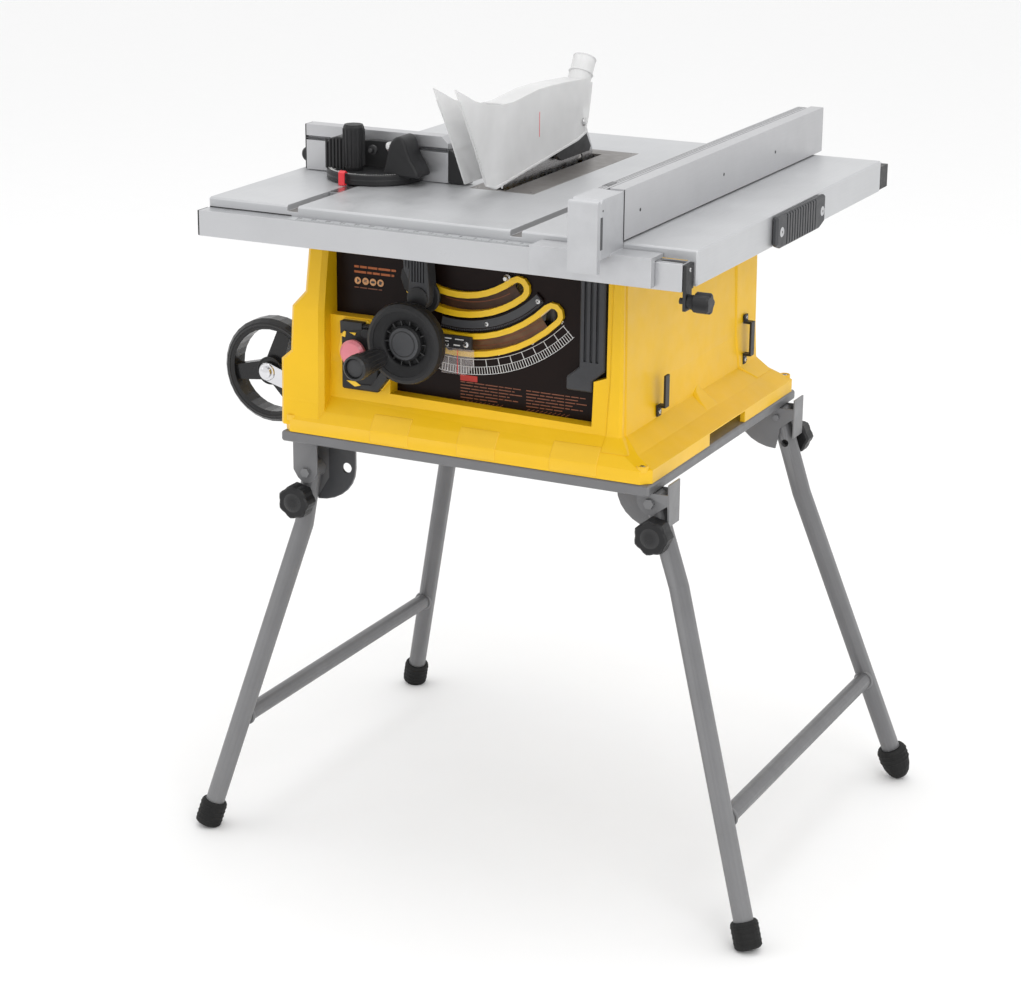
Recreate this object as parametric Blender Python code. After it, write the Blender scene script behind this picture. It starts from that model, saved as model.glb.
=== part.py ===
"""Jobsite table saw on a folding stand.

All lengths are metres. The saw's own centre line is x = 0, y = 0 while the pieces are
drawn; every piece is then moved by CENTRE so that the origin is the middle of the
footprint on the floor. +X is the operator's right, +Y the outfeed side, +Z up.
"""

from math import atan2, cos, pi, radians, sin

import bmesh
import bpy
from mathutils import Matrix, Vector

# ---- driving dimensions -----------------------------------------------------------
GAP = 0.0003
CENTRE = Vector((-0.0164, 0.0178, 0.0))

TABLE_TOP_Z = 0.869
TABLE_EDGE = 0.016
TABLE_LEFT = -0.314
TABLE_SEAM = 0.2222
TABLE_FRONT = -0.316
TABLE_REAR = 0.334
UNDER_TABLE = TABLE_TOP_Z - TABLE_EDGE

EXTENSION_RIGHT = 0.339
EXTENSION_REAR = 0.322
EXTENSION_DROP = 0.042

BLADE_X = -0.020
BLADE_RADIUS = 0.127
BLADE_THICK = 0.0026
ARBOR_Y = 0.020
ARBOR_Z = 0.817

TILT_X = -0.021
TILT_Z = TABLE_TOP_Z + 0.002

FRAME_TOP = 0.559
FRAME_HIGH = 0.014
FRAME_HALF_X = 0.2575
FRAME_HALF_Y = 0.250
FRAME_BAR = 0.025
FRAME_BOTTOM = FRAME_TOP - FRAME_HIGH

TUBE_RADIUS = 0.0127
BRACE_RADIUS = 0.0112
BRACE_Z = 0.153
FOOT_Y = 0.293
LEG_KNOB_DROP = 0.036
# Each leg pair: hinge x and z, distance of the tubes from the middle, bend x and z, foot x.
LEFT_LEG = (-0.2375, 0.4980, 0.206, -0.2515, 0.4212, -0.3604)
RIGHT_LEG = (0.2506, 0.5314, 0.214, 0.2857, 0.4250, 0.4251)
WEB_REACH = {-1: 0.0190, 1: 0.0259}
WEB_TOP = {-1: FRAME_BOTTOM - GAP, 1: FRAME_TOP - 0.001}
WEB_BOTTOM = {-1: 0.5000, 1: 0.5045}

RAIL_TOP = 0.8565
RAIL_BOTTOM = 0.8245
RAIL_FRONT = -0.340
RAIL_BACK = -0.3165
RAIL_LEFT = -0.3135
RAIL_RIGHT = 0.3303
REAR_RAIL_TOP = 0.861
REAR_RAIL_BOTTOM = 0.8285

FENCE_LEFT = 0.2095
FENCE_RIGHT = 0.247
FENCE_TOP = 0.9305

WHEEL_X = -0.338
WHEEL_Z = 0.6030
WHEEL_RADIUS = 0.0705
WHEEL_WIDE = 0.030
WHEEL_Y = 0.130

HANDWHEEL_R = 0.1795
HANDWHEEL_ANGLE = radians(-16.0)
HANDWHEEL_RADIUS = 0.052
LEVER_R = 0.1282
LEVER_ANGLE = radians(-20.4)

PANEL_FRONT = -0.2030
PANEL_BACK = -0.2000

UPPER_SLOT = (LEVER_R, radians(-28), radians(38.9))
LOWER_SLOT = (HANDWHEEL_R, radians(-22), radians(45.2))
UPPER_RIM = 0.0160
UPPER_HOLE = 0.0083
LOWER_RIM = 0.0148
LOWER_HOLE = 0.0078

YELLOW = (0.86, 0.56, 0.02, 1.0)
ALUMINIUM = (0.62, 0.63, 0.65, 1.0)
STAND_GREY = (0.21, 0.21, 0.22, 1.0)
BLACK = (0.018, 0.018, 0.020, 1.0)
DARK_GREY = (0.06, 0.06, 0.065, 1.0)
PANEL_BLACK = (0.020, 0.015, 0.014, 1.0)
STOP_PINK = (0.70, 0.16, 0.20, 1.0)
GREEN = (0.04, 0.30, 0.08, 1.0)
STEEL = (0.50, 0.50, 0.51, 1.0)
MILKY = (0.80, 0.82, 0.82, 1.0)
PLATE_GREY = (0.16, 0.15, 0.145, 1.0)


# ---- helpers ----------------------------------------------------------------------
def clear_scene():
    for old in list(bpy.data.objects):
        bpy.data.objects.remove(old, do_unlink=True)


def to_object(name, bm):
    bmesh.ops.remove_doubles(bm, verts=bm.verts, dist=1e-6)
    bmesh.ops.recalc_face_normals(bm, faces=bm.faces)
    mesh = bpy.data.meshes.new(name)
    bm.to_mesh(mesh)
    bm.free()
    obj = bpy.data.objects.new(name, mesh)
    bpy.context.scene.collection.objects.link(obj)
    return obj


def on_axis(axis, along, u, v):
    """A point from its place along an axis and its two other coordinates in order."""
    if axis == "X":
        return (along, u, v)
    if axis == "Y":
        return (u, along, v)
    return (u, v, along)


def prism(name, profile, axis, low, high):
    """A flat outline pushed along an axis: outlines are (y, z), (x, z) or (x, y)."""
    bm = bmesh.new()
    near = [bm.verts.new(on_axis(axis, low, u, v)) for u, v in profile]
    far = [bm.verts.new(on_axis(axis, high, u, v)) for u, v in profile]
    bm.faces.new(near)
    bm.faces.new(far[::-1])
    count = len(profile)
    for i in range(count):
        j = (i + 1) % count
        bm.faces.new((near[i], near[j], far[j], far[i]))
    return to_object(name, bm)


def box(name, x, y, z):
    return prism(name, [(x[0], y[0]), (x[1], y[0]), (x[1], y[1]), (x[0], y[1])], "Z", z[0], z[1])


def circle(radius, count, centre=(0.0, 0.0), start=0.0):
    return [
        (centre[0] + radius * cos(start + 2 * pi * i / count),
         centre[1] + radius * sin(start + 2 * pi * i / count))
        for i in range(count)
    ]


def rod(name, axis, centre, radius, low, high, count=20):
    """A round bar along an axis; centre gives its two other coordinates."""
    return prism(name, circle(radius, count, centre), axis, low, high)


def lathe(name, profile, base, direction, count=24):
    """A closed (radius, distance) outline turned about a line from base along direction."""
    line = Vector(direction).normalized()
    side = line.orthogonal().normalized()
    other = line.cross(side)
    base = Vector(base)
    bm = bmesh.new()
    rings = []
    for radius, along in profile:
        middle = base + line * along
        if radius < 1e-6:
            rings.append([bm.verts.new(middle)])
            continue
        ring = []
        for i in range(count):
            angle = 2 * pi * i / count
            ring.append(bm.verts.new(middle + (side * cos(angle) + other * sin(angle)) * radius))
        rings.append(ring)
    closed = profile[0][0] > 1e-6 or profile[-1][0] > 1e-6
    last = len(rings) if closed else len(rings) - 1
    for k in range(last):
        one = rings[k]
        two = rings[(k + 1) % len(rings)]
        for i in range(count):
            j = (i + 1) % count
            if len(one) == 1:
                bm.faces.new((one[0], two[i], two[j]))
            elif len(two) == 1:
                bm.faces.new((one[i], one[j], two[0]))
            else:
                bm.faces.new((one[i], one[j], two[j], two[i]))
    return to_object(name, bm)


def tube(name, start, end, radius, count=20):
    start = Vector(start)
    end = Vector(end)
    length = (end - start).length
    return lathe(name, [(0, 0), (radius, 0), (radius, length), (0, length)], start, end - start, count)


def pipe(name, points, radius, count=20):
    """A round bar through several points, with a mitred joint at each inner one."""
    points = [Vector(point) for point in points]
    bm = bmesh.new()
    rings = []
    for i, middle in enumerate(points):
        before = (middle - points[max(i - 1, 0)]).normalized()
        after = (points[min(i + 1, len(points) - 1)] - middle).normalized()
        line = (before + after).normalized()
        side = line.cross(Vector((0.0, 1.0, 0.0))).normalized()
        other = line.cross(side)
        rings.append([bm.verts.new(middle + side * u + other * v) for u, v in circle(radius, count)])
    bm.faces.new(rings[0])
    bm.faces.new(rings[-1][::-1])
    for one, two in zip(rings, rings[1:]):
        for i in range(count):
            j = (i + 1) % count
            bm.faces.new((one[i], one[j], two[j], two[i]))
    return to_object(name, bm)


def loft(name, sections, corner):
    """Stacked chamfered rectangles (z, x0, x1, y0, y1) joined into one solid."""
    bm = bmesh.new()
    rings = []
    for z, x0, x1, y0, y1 in sections:
        outline = [
            (x0 + corner, y0), (x1 - corner, y0), (x1, y0 + corner), (x1, y1 - corner),
            (x1 - corner, y1), (x0 + corner, y1), (x0, y1 - corner), (x0, y0 + corner),
        ]
        rings.append([bm.verts.new((x, y, z)) for x, y in outline])
    bm.faces.new(rings[0][::-1])
    bm.faces.new(rings[-1])
    for one, two in zip(rings, rings[1:]):
        for i in range(8):
            j = (i + 1) % 8
            bm.faces.new((one[i], one[j], two[j], two[i]))
    return to_object(name, bm)


def combine(target, tool, operation):
    """Adds or removes one solid from another with an exact Boolean and keeps the result."""
    modifier = target.modifiers.new(operation, "BOOLEAN")
    modifier.operation = operation
    modifier.solver = "EXACT"
    modifier.object = tool
    graph = bpy.context.evaluated_depsgraph_get()
    mesh = bpy.data.meshes.new_from_object(target.evaluated_get(graph))
    target.modifiers.clear()
    target.data = mesh
    bpy.data.objects.remove(tool, do_unlink=True)
    return target


def add(target, *tools):
    for tool in tools:
        combine(target, tool, "UNION")
    return target


def cut(target, *tools):
    for tool in tools:
        combine(target, tool, "DIFFERENCE")
    return target


def soften(obj, width):
    modifier = obj.modifiers.new("edges", "BEVEL")
    modifier.width = width
    modifier.segments = 1
    modifier.limit_method = "ANGLE"
    modifier.angle_limit = radians(50)
    graph = bpy.context.evaluated_depsgraph_get()
    mesh = bpy.data.meshes.new_from_object(obj.evaluated_get(graph))
    obj.modifiers.clear()
    obj.data = mesh
    return obj


def piece(obj, colour, roughness, metallic=0.0, origin=(0.0, 0.0, 0.0), smooth=True, alpha=1.0):
    """Gives a finished solid its own material, shading and place; origin is its pivot point."""
    material = bpy.data.materials.new(obj.name + "_material")
    material.use_nodes = True
    shader = material.node_tree.nodes["Principled BSDF"]
    shader.inputs["Base Color"].default_value = colour
    shader.inputs["Roughness"].default_value = roughness
    shader.inputs["Metallic"].default_value = metallic
    shader.inputs["Alpha"].default_value = alpha
    obj.data.materials.clear()
    obj.data.materials.append(material)
    if smooth:
        obj.data.shade_smooth()
        obj.data.set_sharp_from_angle(angle=radians(32))
    obj.data.transform(Matrix.Translation(-Vector(origin)))
    obj.location = Vector(origin) + CENTRE
    return obj


def at_tilt(radius, angle):
    """A point in the x, z plane at a distance and angle from the bevel pivot, 0 straight down."""
    return (TILT_X + radius * sin(angle), TILT_Z - radius * cos(angle))


def arc_band(inner, outer, first, last, steps=12):
    low = [at_tilt(inner, first + (last - first) * i / steps) for i in range(steps + 1)]
    high = [at_tilt(outer, last - (last - first) * i / steps) for i in range(steps + 1)]
    return low + high


def arc_slot(radius, half, first, last, steps=10, ends=5):
    """The outline of a curved slot with round ends about the bevel pivot."""
    points = [at_tilt(radius - half, first + (last - first) * i / steps) for i in range(steps + 1)]
    for i in range(1, ends):
        turn = pi * i / ends
        middle = at_tilt(radius, last)
        points.append((middle[0] + half * (-sin(last) * cos(turn) + cos(last) * sin(turn)),
                       middle[1] + half * (cos(last) * cos(turn) + sin(last) * sin(turn))))
    points += [at_tilt(radius + half, last - (last - first) * i / steps) for i in range(steps + 1)]
    for i in range(1, ends):
        turn = pi * i / ends
        middle = at_tilt(radius, first)
        points.append((middle[0] + half * (sin(first) * cos(turn) - cos(first) * sin(turn)),
                       middle[1] + half * (-cos(first) * cos(turn) - sin(first) * sin(turn))))
    return points


def star(radius, depth, lobes, centre=(0.0, 0.0), steps=4):
    points = []
    for i in range(lobes * steps):
        angle = 2 * pi * i / (lobes * steps)
        reach = radius - depth * (0.5 - 0.5 * cos(lobes * angle))
        points.append((centre[0] + reach * cos(angle), centre[1] + reach * sin(angle)))
    return points


# ---- stand ------------------------------------------------------------------------
def stand_frame():
    frame = box("stand_frame", (-FRAME_HALF_X, FRAME_HALF_X), (-FRAME_HALF_Y, FRAME_HALF_Y),
                (FRAME_BOTTOM, FRAME_TOP))
    inner_x = FRAME_HALF_X - FRAME_BAR
    inner_y = FRAME_HALF_Y - FRAME_BAR
    hole = box("hole", (-inner_x, inner_x), (-inner_y, inner_y), (FRAME_BOTTOM - 0.01, FRAME_TOP + 0.01))
    soften(frame, 0.0025)
    cut(frame, hole)
    piece(frame, STAND_GREY, 0.45, 0.3)


def leg_point(leg, z):
    """The leg's centre line at a height, for the front leg (y negative)."""
    pivot_x, pivot_z, top_y, bend_x, bend_z, foot_x = leg
    if z > bend_z:
        share = (pivot_z - z) / (pivot_z - bend_z)
        return Vector((pivot_x + (bend_x - pivot_x) * share, -top_y, z))
    share = (bend_z - z) / bend_z
    return Vector((bend_x + (foot_x - bend_x) * share, -(top_y + (FOOT_Y - top_y) * share), z))


def mirror_y(point):
    return Vector((point[0], -point[1], point[2]))


def leg_frame(name, leg, rear_end_z):
    """Two bent, splayed tubes welded to one cross brace, with a round knuckle at each top."""
    pivot = (leg[0], leg[1])
    top_y = leg[2]
    path = [leg_point(leg, leg[1]), leg_point(leg, leg[4]), leg_point(leg, 0.0140)]
    frame = pipe(name, path, TUBE_RADIUS)
    path[2] = leg_point(leg, rear_end_z)
    other = pipe("rear_leg", [mirror_y(point) for point in path], TUBE_RADIUS)
    half = 0.0132
    add(frame, rod("knuckle", "Y", pivot, TUBE_RADIUS - 0.0002, -top_y - half, -top_y + half))
    add(other, rod("knuckle", "Y", pivot, TUBE_RADIUS - 0.0002, top_y - half, top_y + half))
    brace_front = leg_point(leg, BRACE_Z)
    add(frame, tube("brace", brace_front, mirror_y(brace_front), BRACE_RADIUS, 16))
    add(frame, other)
    cut(frame, rod("bolt_hole", "Y", pivot, 0.0046, -0.30, 0.30, 12))
    spot = leg_point(leg, leg[1] - LEG_KNOB_DROP)
    cut(frame, rod("knob_hole", "Y", (spot.x, spot.z), 0.0054, -0.30, -0.13, 12))
    cut(frame, rod("knob_hole", "Y", (spot.x, spot.z), 0.0054, 0.13, 0.30, 12))
    piece(frame, STAND_GREY, 0.42, 0.35, origin=(pivot[0], 0.0, pivot[1]))


def leg_end(leg, z, rear):
    """A point on the leg's line near the floor and the direction up the leg from there."""
    low = leg_point(leg, z)
    up = leg_point(leg, 0.3) - low
    return (mirror_y(low), mirror_y(up)) if rear else (low, up)


def foot_cap(name, leg, rear):
    """A rubber cap square to its leg, worn flat where it meets the floor."""
    base, up = leg_end(leg, 0.0034, rear)
    profile = [(0, 0), (0.0150, 0), (0.0174, 0.0025), (0.0174, 0.0320), (0.0156, 0.0345),
               (0.0131, 0.0345), (0.0131, 0.0100), (0, 0.0100)]
    cap = lathe(name, profile, base, up, 20)
    cut(cap, box("floor", (base.x - 0.1, base.x + 0.1), (base.y - 0.1, base.y + 0.1), (-0.05, 0.0)))
    piece(cap, BLACK, 0.7)


LEVEL_FOOT_BASE = 0.0022
LEVEL_FOOT_END = 0.0235


def levelling_foot():
    """A turned foot that screws on the end of the rear right leg, with a domed sole."""
    base, up = leg_end(RIGHT_LEG, LEVEL_FOOT_BASE, True)
    profile = [
        (0, 0), (0.006, 0.0005), (0.0105, 0.0028), (0.0150, 0.0085), (0.0185, 0.0175),
        (0.0205, 0.0300), (0.0205, 0.0440), (0.0180, 0.0480), (0.0132, 0.0480),
        (0.0132, 0.0195), (0, 0.0195),
    ]
    foot = lathe("levelling_foot", profile, base, up, 20)
    low = min(vertex.co.z for vertex in foot.data.vertices)
    foot.data.transform(Matrix.Translation((0, 0, -low)))
    piece(foot, BLACK, 0.65, origin=base)


def leg_bracket(name, leg, side, rear):
    """A folded steel bracket: two cheeks, an outer web, a quadrant plate and the hinge bolt."""
    pivot = (leg[0], leg[1])
    outer_cheek = leg[2] + 0.0137
    inner_cheek = leg[2] - 0.0137
    thick = 0.0028
    top = FRAME_BOTTOM - GAP
    web_out = pivot[0] + side * WEB_REACH[side]
    web_in = web_out - side * 0.0022
    web_low = WEB_BOTTOM[side]
    inward = pivot[0] - side * 0.0165

    def cheek_outline():
        corner = [(web_out, top), (inward, top), (inward, pivot[1])]
        steps = 5
        for i in range(1, steps):
            turn = pi * i / steps
            corner.append((pivot[0] - side * 0.0150 * cos(turn), pivot[1] - 0.0150 * sin(turn)))
        corner.append((web_out, max(web_low, pivot[1] + 0.0015)))
        return corner

    def quadrant_outline():
        reach = 0.057
        points = [(web_out, top), (pivot[0] - side * reach, top)]
        steps = 7
        for i in range(steps + 1):
            turn = radians(90) * i / steps
            points.append((pivot[0] - side * reach * cos(turn), pivot[1] + 0.004 - 0.048 * sin(turn)))
        points.append((pivot[0] + side * 0.006, pivot[1] - 0.0145))
        points.append((web_out, max(web_low, pivot[1] + 0.0015)))
        return points

    def span(near, far):
        return (near, far) if rear else (-far, -near)

    web = box(name, tuple(sorted((web_in, web_out))), span(inner_cheek - thick, outer_cheek + thick),
              (web_low, WEB_TOP[side]))
    add(web, prism("cheek", cheek_outline(), "Y", *span(outer_cheek, outer_cheek + thick)))
    add(web, prism("quadrant", quadrant_outline(), "Y", *span(inner_cheek - thick, inner_cheek)))
    cut(web, rod("lock_hole", "Y", (pivot[0] - side * 0.044, pivot[1] + 0.004), 0.0070,
                 *span(inner_cheek - 0.02, inner_cheek + 0.005), 12))
    add(web, rod("bolt", "Y", pivot, 0.0042, *span(inner_cheek - 0.0065, outer_cheek + 0.0065), 12))
    add(web, rod("head", "Y", pivot, 0.0068, *span(outer_cheek + 0.002, outer_cheek + 0.0070), 6))
    piece(web, STAND_GREY, 0.42, 0.4)


def leg_knob(name, leg, rear):
    """A lobed locking knob with its stud in the leg."""
    spot = leg_point(leg, leg[1] - LEG_KNOB_DROP)
    sign = 1 if rear else -1
    surface = leg[2] + TUBE_RADIUS + 0.0046
    low, high = sorted((sign * surface, sign * (surface + 0.024)))
    knob = prism(name, star(0.0230, 0.0026, 7, (spot.x, spot.z)), "Y", low, high)
    soften(knob, 0.0025)
    low, high = sorted((sign * (surface - 0.020), sign * (surface + 0.004)))
    add(knob, rod("stud", "Y", (spot.x, spot.z), 0.0048, low, high, 12))
    piece(knob, BLACK, 0.5, origin=(spot.x, sign * surface, spot.z))


def stand():
    stand_frame()
    leg_frame("left_leg_frame", LEFT_LEG, 0.0140)
    leg_frame("right_leg_frame", RIGHT_LEG, LEVEL_FOOT_END)
    foot_cap("foot_front_left", LEFT_LEG, False)
    foot_cap("foot_rear_left", LEFT_LEG, True)
    foot_cap("foot_front_right", RIGHT_LEG, False)
    levelling_foot()
    leg_bracket("bracket_front_left", LEFT_LEG, -1, False)
    leg_bracket("bracket_rear_left", LEFT_LEG, -1, True)
    leg_bracket("bracket_front_right", RIGHT_LEG, 1, False)
    leg_bracket("bracket_rear_right", RIGHT_LEG, 1, True)
    leg_knob("leg_knob_front_left", LEFT_LEG, False)
    leg_knob("leg_knob_rear_left", LEFT_LEG, True)
    leg_knob("leg_knob_front_right", RIGHT_LEG, False)
    leg_knob("leg_knob_rear_right", RIGHT_LEG, True)


# ---- housing and front panel ------------------------------------------------------
WINDOW = [(-0.1985, 0.713), (-0.1985, 0.842), (0.186, 0.842), (0.186, 0.677), (0.169, 0.671),
          (0.168, 0.6150), (-0.1117, 0.6200), (-0.1117, 0.713)]


def housing():
    outer = [
        (FRAME_TOP + GAP, -0.2565, 0.2565, -0.249, 0.249),
        (0.5760, -0.2565, 0.2565, -0.249, 0.249),
        (0.5890, -0.2620, 0.2330, -0.2400, 0.2370),
        (0.6060, -0.2620, 0.2100, -0.2230, 0.2190),
        (0.6520, -0.2620, 0.2080, -0.2210, 0.2170),
        (0.6640, -0.2480, 0.2078, -0.2205, 0.2170),
        (0.7240, -0.2460, 0.2070, -0.2200, 0.2165),
        (0.7440, -0.2270, 0.2065, -0.2195, 0.2160),
        (UNDER_TABLE - GAP, -0.2270, 0.2050, -0.2185, 0.2150),
    ]
    inner = [
        (FRAME_TOP - 0.01, -0.2500, 0.2500, -0.2425, 0.2425),
        (0.5720, -0.2500, 0.2500, -0.2425, 0.2425),
        (0.5830, -0.2570, 0.2310, -0.2300, 0.2330),
        (0.5990, -0.2570, 0.2070, -0.2100, 0.2150),
        (0.6060, -0.2570, 0.2040, -0.2033, 0.2140),
        (0.6530, -0.2570, 0.2030, -0.2033, 0.2125),
        (0.6650, -0.2430, 0.2028, -0.2033, 0.2120),
        (0.7230, -0.2410, 0.2020, -0.2033, 0.2115),
        (0.7430, -0.2220, 0.2015, -0.2033, 0.2110),
        (UNDER_TABLE + 0.01, -0.2220, 0.2000, -0.2033, 0.2100),
    ]
    pillar = [
        (0.5680, -0.2600, -0.1985, -0.2480, -0.2040),
        (0.6000, -0.2615, -0.1985, -0.2440, -0.2040),
        (0.6520, -0.2615, -0.1985, -0.2430, -0.2040),
        (0.6640, -0.2475, -0.1985, -0.2428, -0.2040),
        (0.7220, -0.2455, -0.1985, -0.2410, -0.2040),
        (0.7420, -0.2275, -0.1985, -0.2380, -0.2040),
        (0.8420, -0.2265, -0.1985, -0.2205, -0.2040),
    ]
    body = loft("housing", outer, 0.012)
    add(body, loft("pillar", pillar, 0.006))
    cut(body, loft("hollow", inner, 0.004))
    cut(body, prism("window", WINDOW, "Y", -0.26, -0.19))
    cut(body, box("hand_hold", (0.20, 0.27), (-0.056, 0.064), (0.55, 0.5745)))
    cut(body, rod("gland_hole", "Y", (-0.120, 0.680), 0.0090, 0.20, 0.23, 16))
    piece(body, YELLOW, 0.38)


def front_panel():
    """The dark instrument plate, with the bevel rack moulded on its face."""
    panel = box("front_panel", (-0.2150, 0.1950), (PANEL_FRONT, PANEL_BACK), (0.6075, 0.8510))
    rack = prism("rack", arc_band(0.1465, 0.1590, radians(-10), radians(46), 12), "Y",
                 PANEL_FRONT - 0.0035, PANEL_FRONT + 0.001)
    add(panel, rack)
    clear = 0.0004
    for slot, rim in ((UPPER_SLOT, UPPER_RIM), (LOWER_SLOT, LOWER_RIM)):
        cut(panel, prism("slot", arc_slot(slot[0], rim + clear, slot[1], slot[2]), "Y",
                         PANEL_FRONT - 0.01, PANEL_BACK + 0.01))
    piece(panel, PANEL_BLACK, 0.35)


def slot_frame():
    """The moulded guide behind the panel whose two raised rims line the bevel slots."""
    back = PANEL_BACK + 0.0035
    front = PANEL_BACK + GAP
    rim_front = PANEL_FRONT - 0.0050
    plate = prism("slot_frame", arc_band(0.1040, 0.2010, radians(-35), radians(53), 14), "Y",
                  front, back)
    add(plate, prism("rim", arc_slot(UPPER_SLOT[0], UPPER_RIM, UPPER_SLOT[1], UPPER_SLOT[2]), "Y",
                     rim_front, back))
    add(plate, prism("rim", arc_slot(LOWER_SLOT[0], LOWER_RIM, LOWER_SLOT[1], LOWER_SLOT[2]), "Y",
                     rim_front, back))
    cut(plate, prism("hole", arc_slot(UPPER_SLOT[0], UPPER_HOLE, UPPER_SLOT[1], UPPER_SLOT[2]), "Y",
                     rim_front - 0.01, back + 0.01))
    cut(plate, prism("hole", arc_slot(LOWER_SLOT[0], LOWER_HOLE, LOWER_SLOT[1], LOWER_SLOT[2]), "Y",
                     rim_front - 0.01, back + 0.01))
    piece(plate, YELLOW, 0.38)


def switch_parts():
    front = -0.2325
    switch = box("switch_box", (-0.1765, -0.1235), (front, -0.2233), (0.6215, 0.7080))
    soften(switch, 0.002)
    stop_at = (-0.1530, 0.6725)
    start_at = (-0.1390, 0.6975)
    cut(switch, rod("well", "Y", stop_at, 0.0068, front - 0.01, front + 0.0062, 16))
    cut(switch, rod("well", "Y", start_at, 0.0072, front - 0.01, front + 0.0062, 16))
    piece(switch, BLACK, 0.45)
    stop = lathe("stop_button", [(0, 0), (0.0060, 0), (0.0060, 0.0100), (0.0172, 0.0115),
                                 (0.0175, 0.0165), (0.0140, 0.0198), (0, 0.0212)],
                 (stop_at[0], front + 0.0030, stop_at[1]), (0, -1, 0), 20)
    piece(stop, STOP_PINK, 0.4, origin=(stop_at[0], front, stop_at[1]))
    start = lathe("start_button", [(0, 0), (0.0064, 0), (0.0064, 0.0070), (0.0052, 0.0078), (0, 0.0078)],
                  (start_at[0], front + 0.0030, start_at[1]), (0, -1, 0), 16)
    piece(start, GREEN, 0.4, origin=(start_at[0], front, start_at[1]))


def storage_hook(name, y, high):
    """A bent strip on the right wall that holds stored parts."""
    wall = 0.2104
    low = 0.6080
    out = wall + 0.0125
    thick = 0.0030
    outline = [(wall, low), (wall + 0.0025, low), (wall + 0.0025, low + 0.012), (out, low + 0.012),
               (out, high), (out - thick, high), (out - thick, low + 0.012 + thick),
               (wall, low + 0.012 + thick)]
    if high > 0.67:
        outline = outline[:4] + [(out, high - 0.009), (wall + 0.0025, high - 0.009), (wall + 0.0025, high),
                                 (wall, high), (wall, high - 0.012),
                                 (out - thick, high - 0.012)] + outline[6:]
    hook = prism(name, outline, "Y", y - 0.006, y + 0.006)
    piece(hook, BLACK, 0.5)


def push_stick():
    """The ribbed push stick clipped upright on the right of the panel."""
    front = -0.2190
    back = PANEL_FRONT - 0.0006
    stick = prism("push_stick", [(0.1480, 0.687), (0.1480, 0.836), (0.1820, 0.836), (0.1820, 0.684),
                                 (0.1660, 0.670), (0.1660, 0.656), (0.1310, 0.656), (0.1310, 0.673),
                                 (0.1400, 0.680)], "Y", front, back)
    soften(stick, 0.002)
    for x in (0.1560, 0.1640, 0.1720):
        cut(stick, box("groove", (x - 0.0018, x + 0.0018), (front - 0.01, front + 0.003), (0.694, 0.84)))
    piece(stick, DARK_GREY, 0.55, origin=(0.165, back, 0.75))


def cord_gland():
    gland = lathe("cord_gland", [(0.0045, 0), (0.0084, 0), (0.0084, 0.0075), (0.0120, 0.0080),
                                 (0.0120, 0.0110), (0.0085, 0.0130), (0.0070, 0.0300), (0.0045, 0.0300)],
                  (-0.120, 0.2102, 0.680), (0, 1, 0), 16)
    piece(gland, BLACK, 0.6)


def body_shell():
    housing()
    front_panel()
    slot_frame()
    switch_parts()
    storage_hook("storage_hook_front", -0.117, 0.662)
    storage_hook("storage_hook_rear", 0.171, 0.676)
    push_stick()
    cord_gland()


# ---- transport wheels -------------------------------------------------------------
def transport_wheel(name, y):
    half = WHEEL_WIDE / 2
    ring = lathe(name, [(0.0560, -half + 0.002), (0.0590, -half), (0.0660, -half),
                        (WHEEL_RADIUS, -half + 0.005),
                        (WHEEL_RADIUS, half - 0.005), (0.0660, half), (0.0590, half), (0.0560, half - 0.002)],
                 (WHEEL_X, y, WHEEL_Z), (0, 1, 0), 32)
    hub = rod("hub", "Y", (WHEEL_X, WHEEL_Z), 0.0190, y - half + 0.001, y + half - 0.001)
    for i in range(3):
        angle = radians(70 + 120 * i)
        across = Vector((-sin(angle), cos(angle)))
        away = Vector((cos(angle), sin(angle)))
        outline = []
        for reach, wide in ((0.012, -0.013), (0.0575, -0.010), (0.0575, 0.010), (0.012, 0.013)):
            spot = away * reach + across * wide
            outline.append((WHEEL_X + spot.x, WHEEL_Z + spot.y))
        add(hub, prism("spoke", outline, "Y", y - 0.008, y + 0.008))
    add(ring, hub)
    cut(ring, rod("bore", "Y", (WHEEL_X, WHEEL_Z), 0.0068, y - 0.03, y + 0.03, 16))
    piece(ring, BLACK, 0.6, origin=(WHEEL_X, y, WHEEL_Z))


def wheel_bracket():
    """One steel strap with an arm in front of each wheel, joined along the housing's side."""
    wall = -0.2630
    strap = box("wheel_bracket", (wall - 0.0035, wall), (-0.1535, 0.1535), (0.566, 0.592))
    run = Vector((wall - 0.0054 - WHEEL_X, 0.581 - WHEEL_Z))
    turn = atan2(run.y, run.x)
    for sign in (-1, 1):
        outline = []
        for i in range(9):
            angle = turn + pi / 2 + pi * i / 8
            outline.append((WHEEL_X + 0.0125 * cos(angle), WHEEL_Z + 0.0125 * sin(angle)))
        side = Vector((-sin(turn), cos(turn))) * 0.0105
        outline.append((WHEEL_X + run.x - side.x, WHEEL_Z + run.y - side.y))
        outline.append((WHEEL_X + run.x + side.x, WHEEL_Z + run.y + side.y))
        low, high = sorted((sign * 0.1480, sign * 0.1515))
        add(strap, prism("arm", outline, "Y", low, high))
        cut(strap, rod("hole", "Y", (WHEEL_X, WHEEL_Z), 0.0064, low - 0.01, high + 0.01, 16))
    piece(strap, STEEL, 0.25, 1.0)


def wheels():
    transport_wheel("wheel_front", -WHEEL_Y)
    transport_wheel("wheel_rear", WHEEL_Y)
    wheel_bracket()
    axle = rod("wheel_axle", "Y", (WHEEL_X, WHEEL_Z), 0.0060, -0.1555, 0.1555, 16)
    piece(axle, STEEL, 0.25, 1.0)


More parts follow.
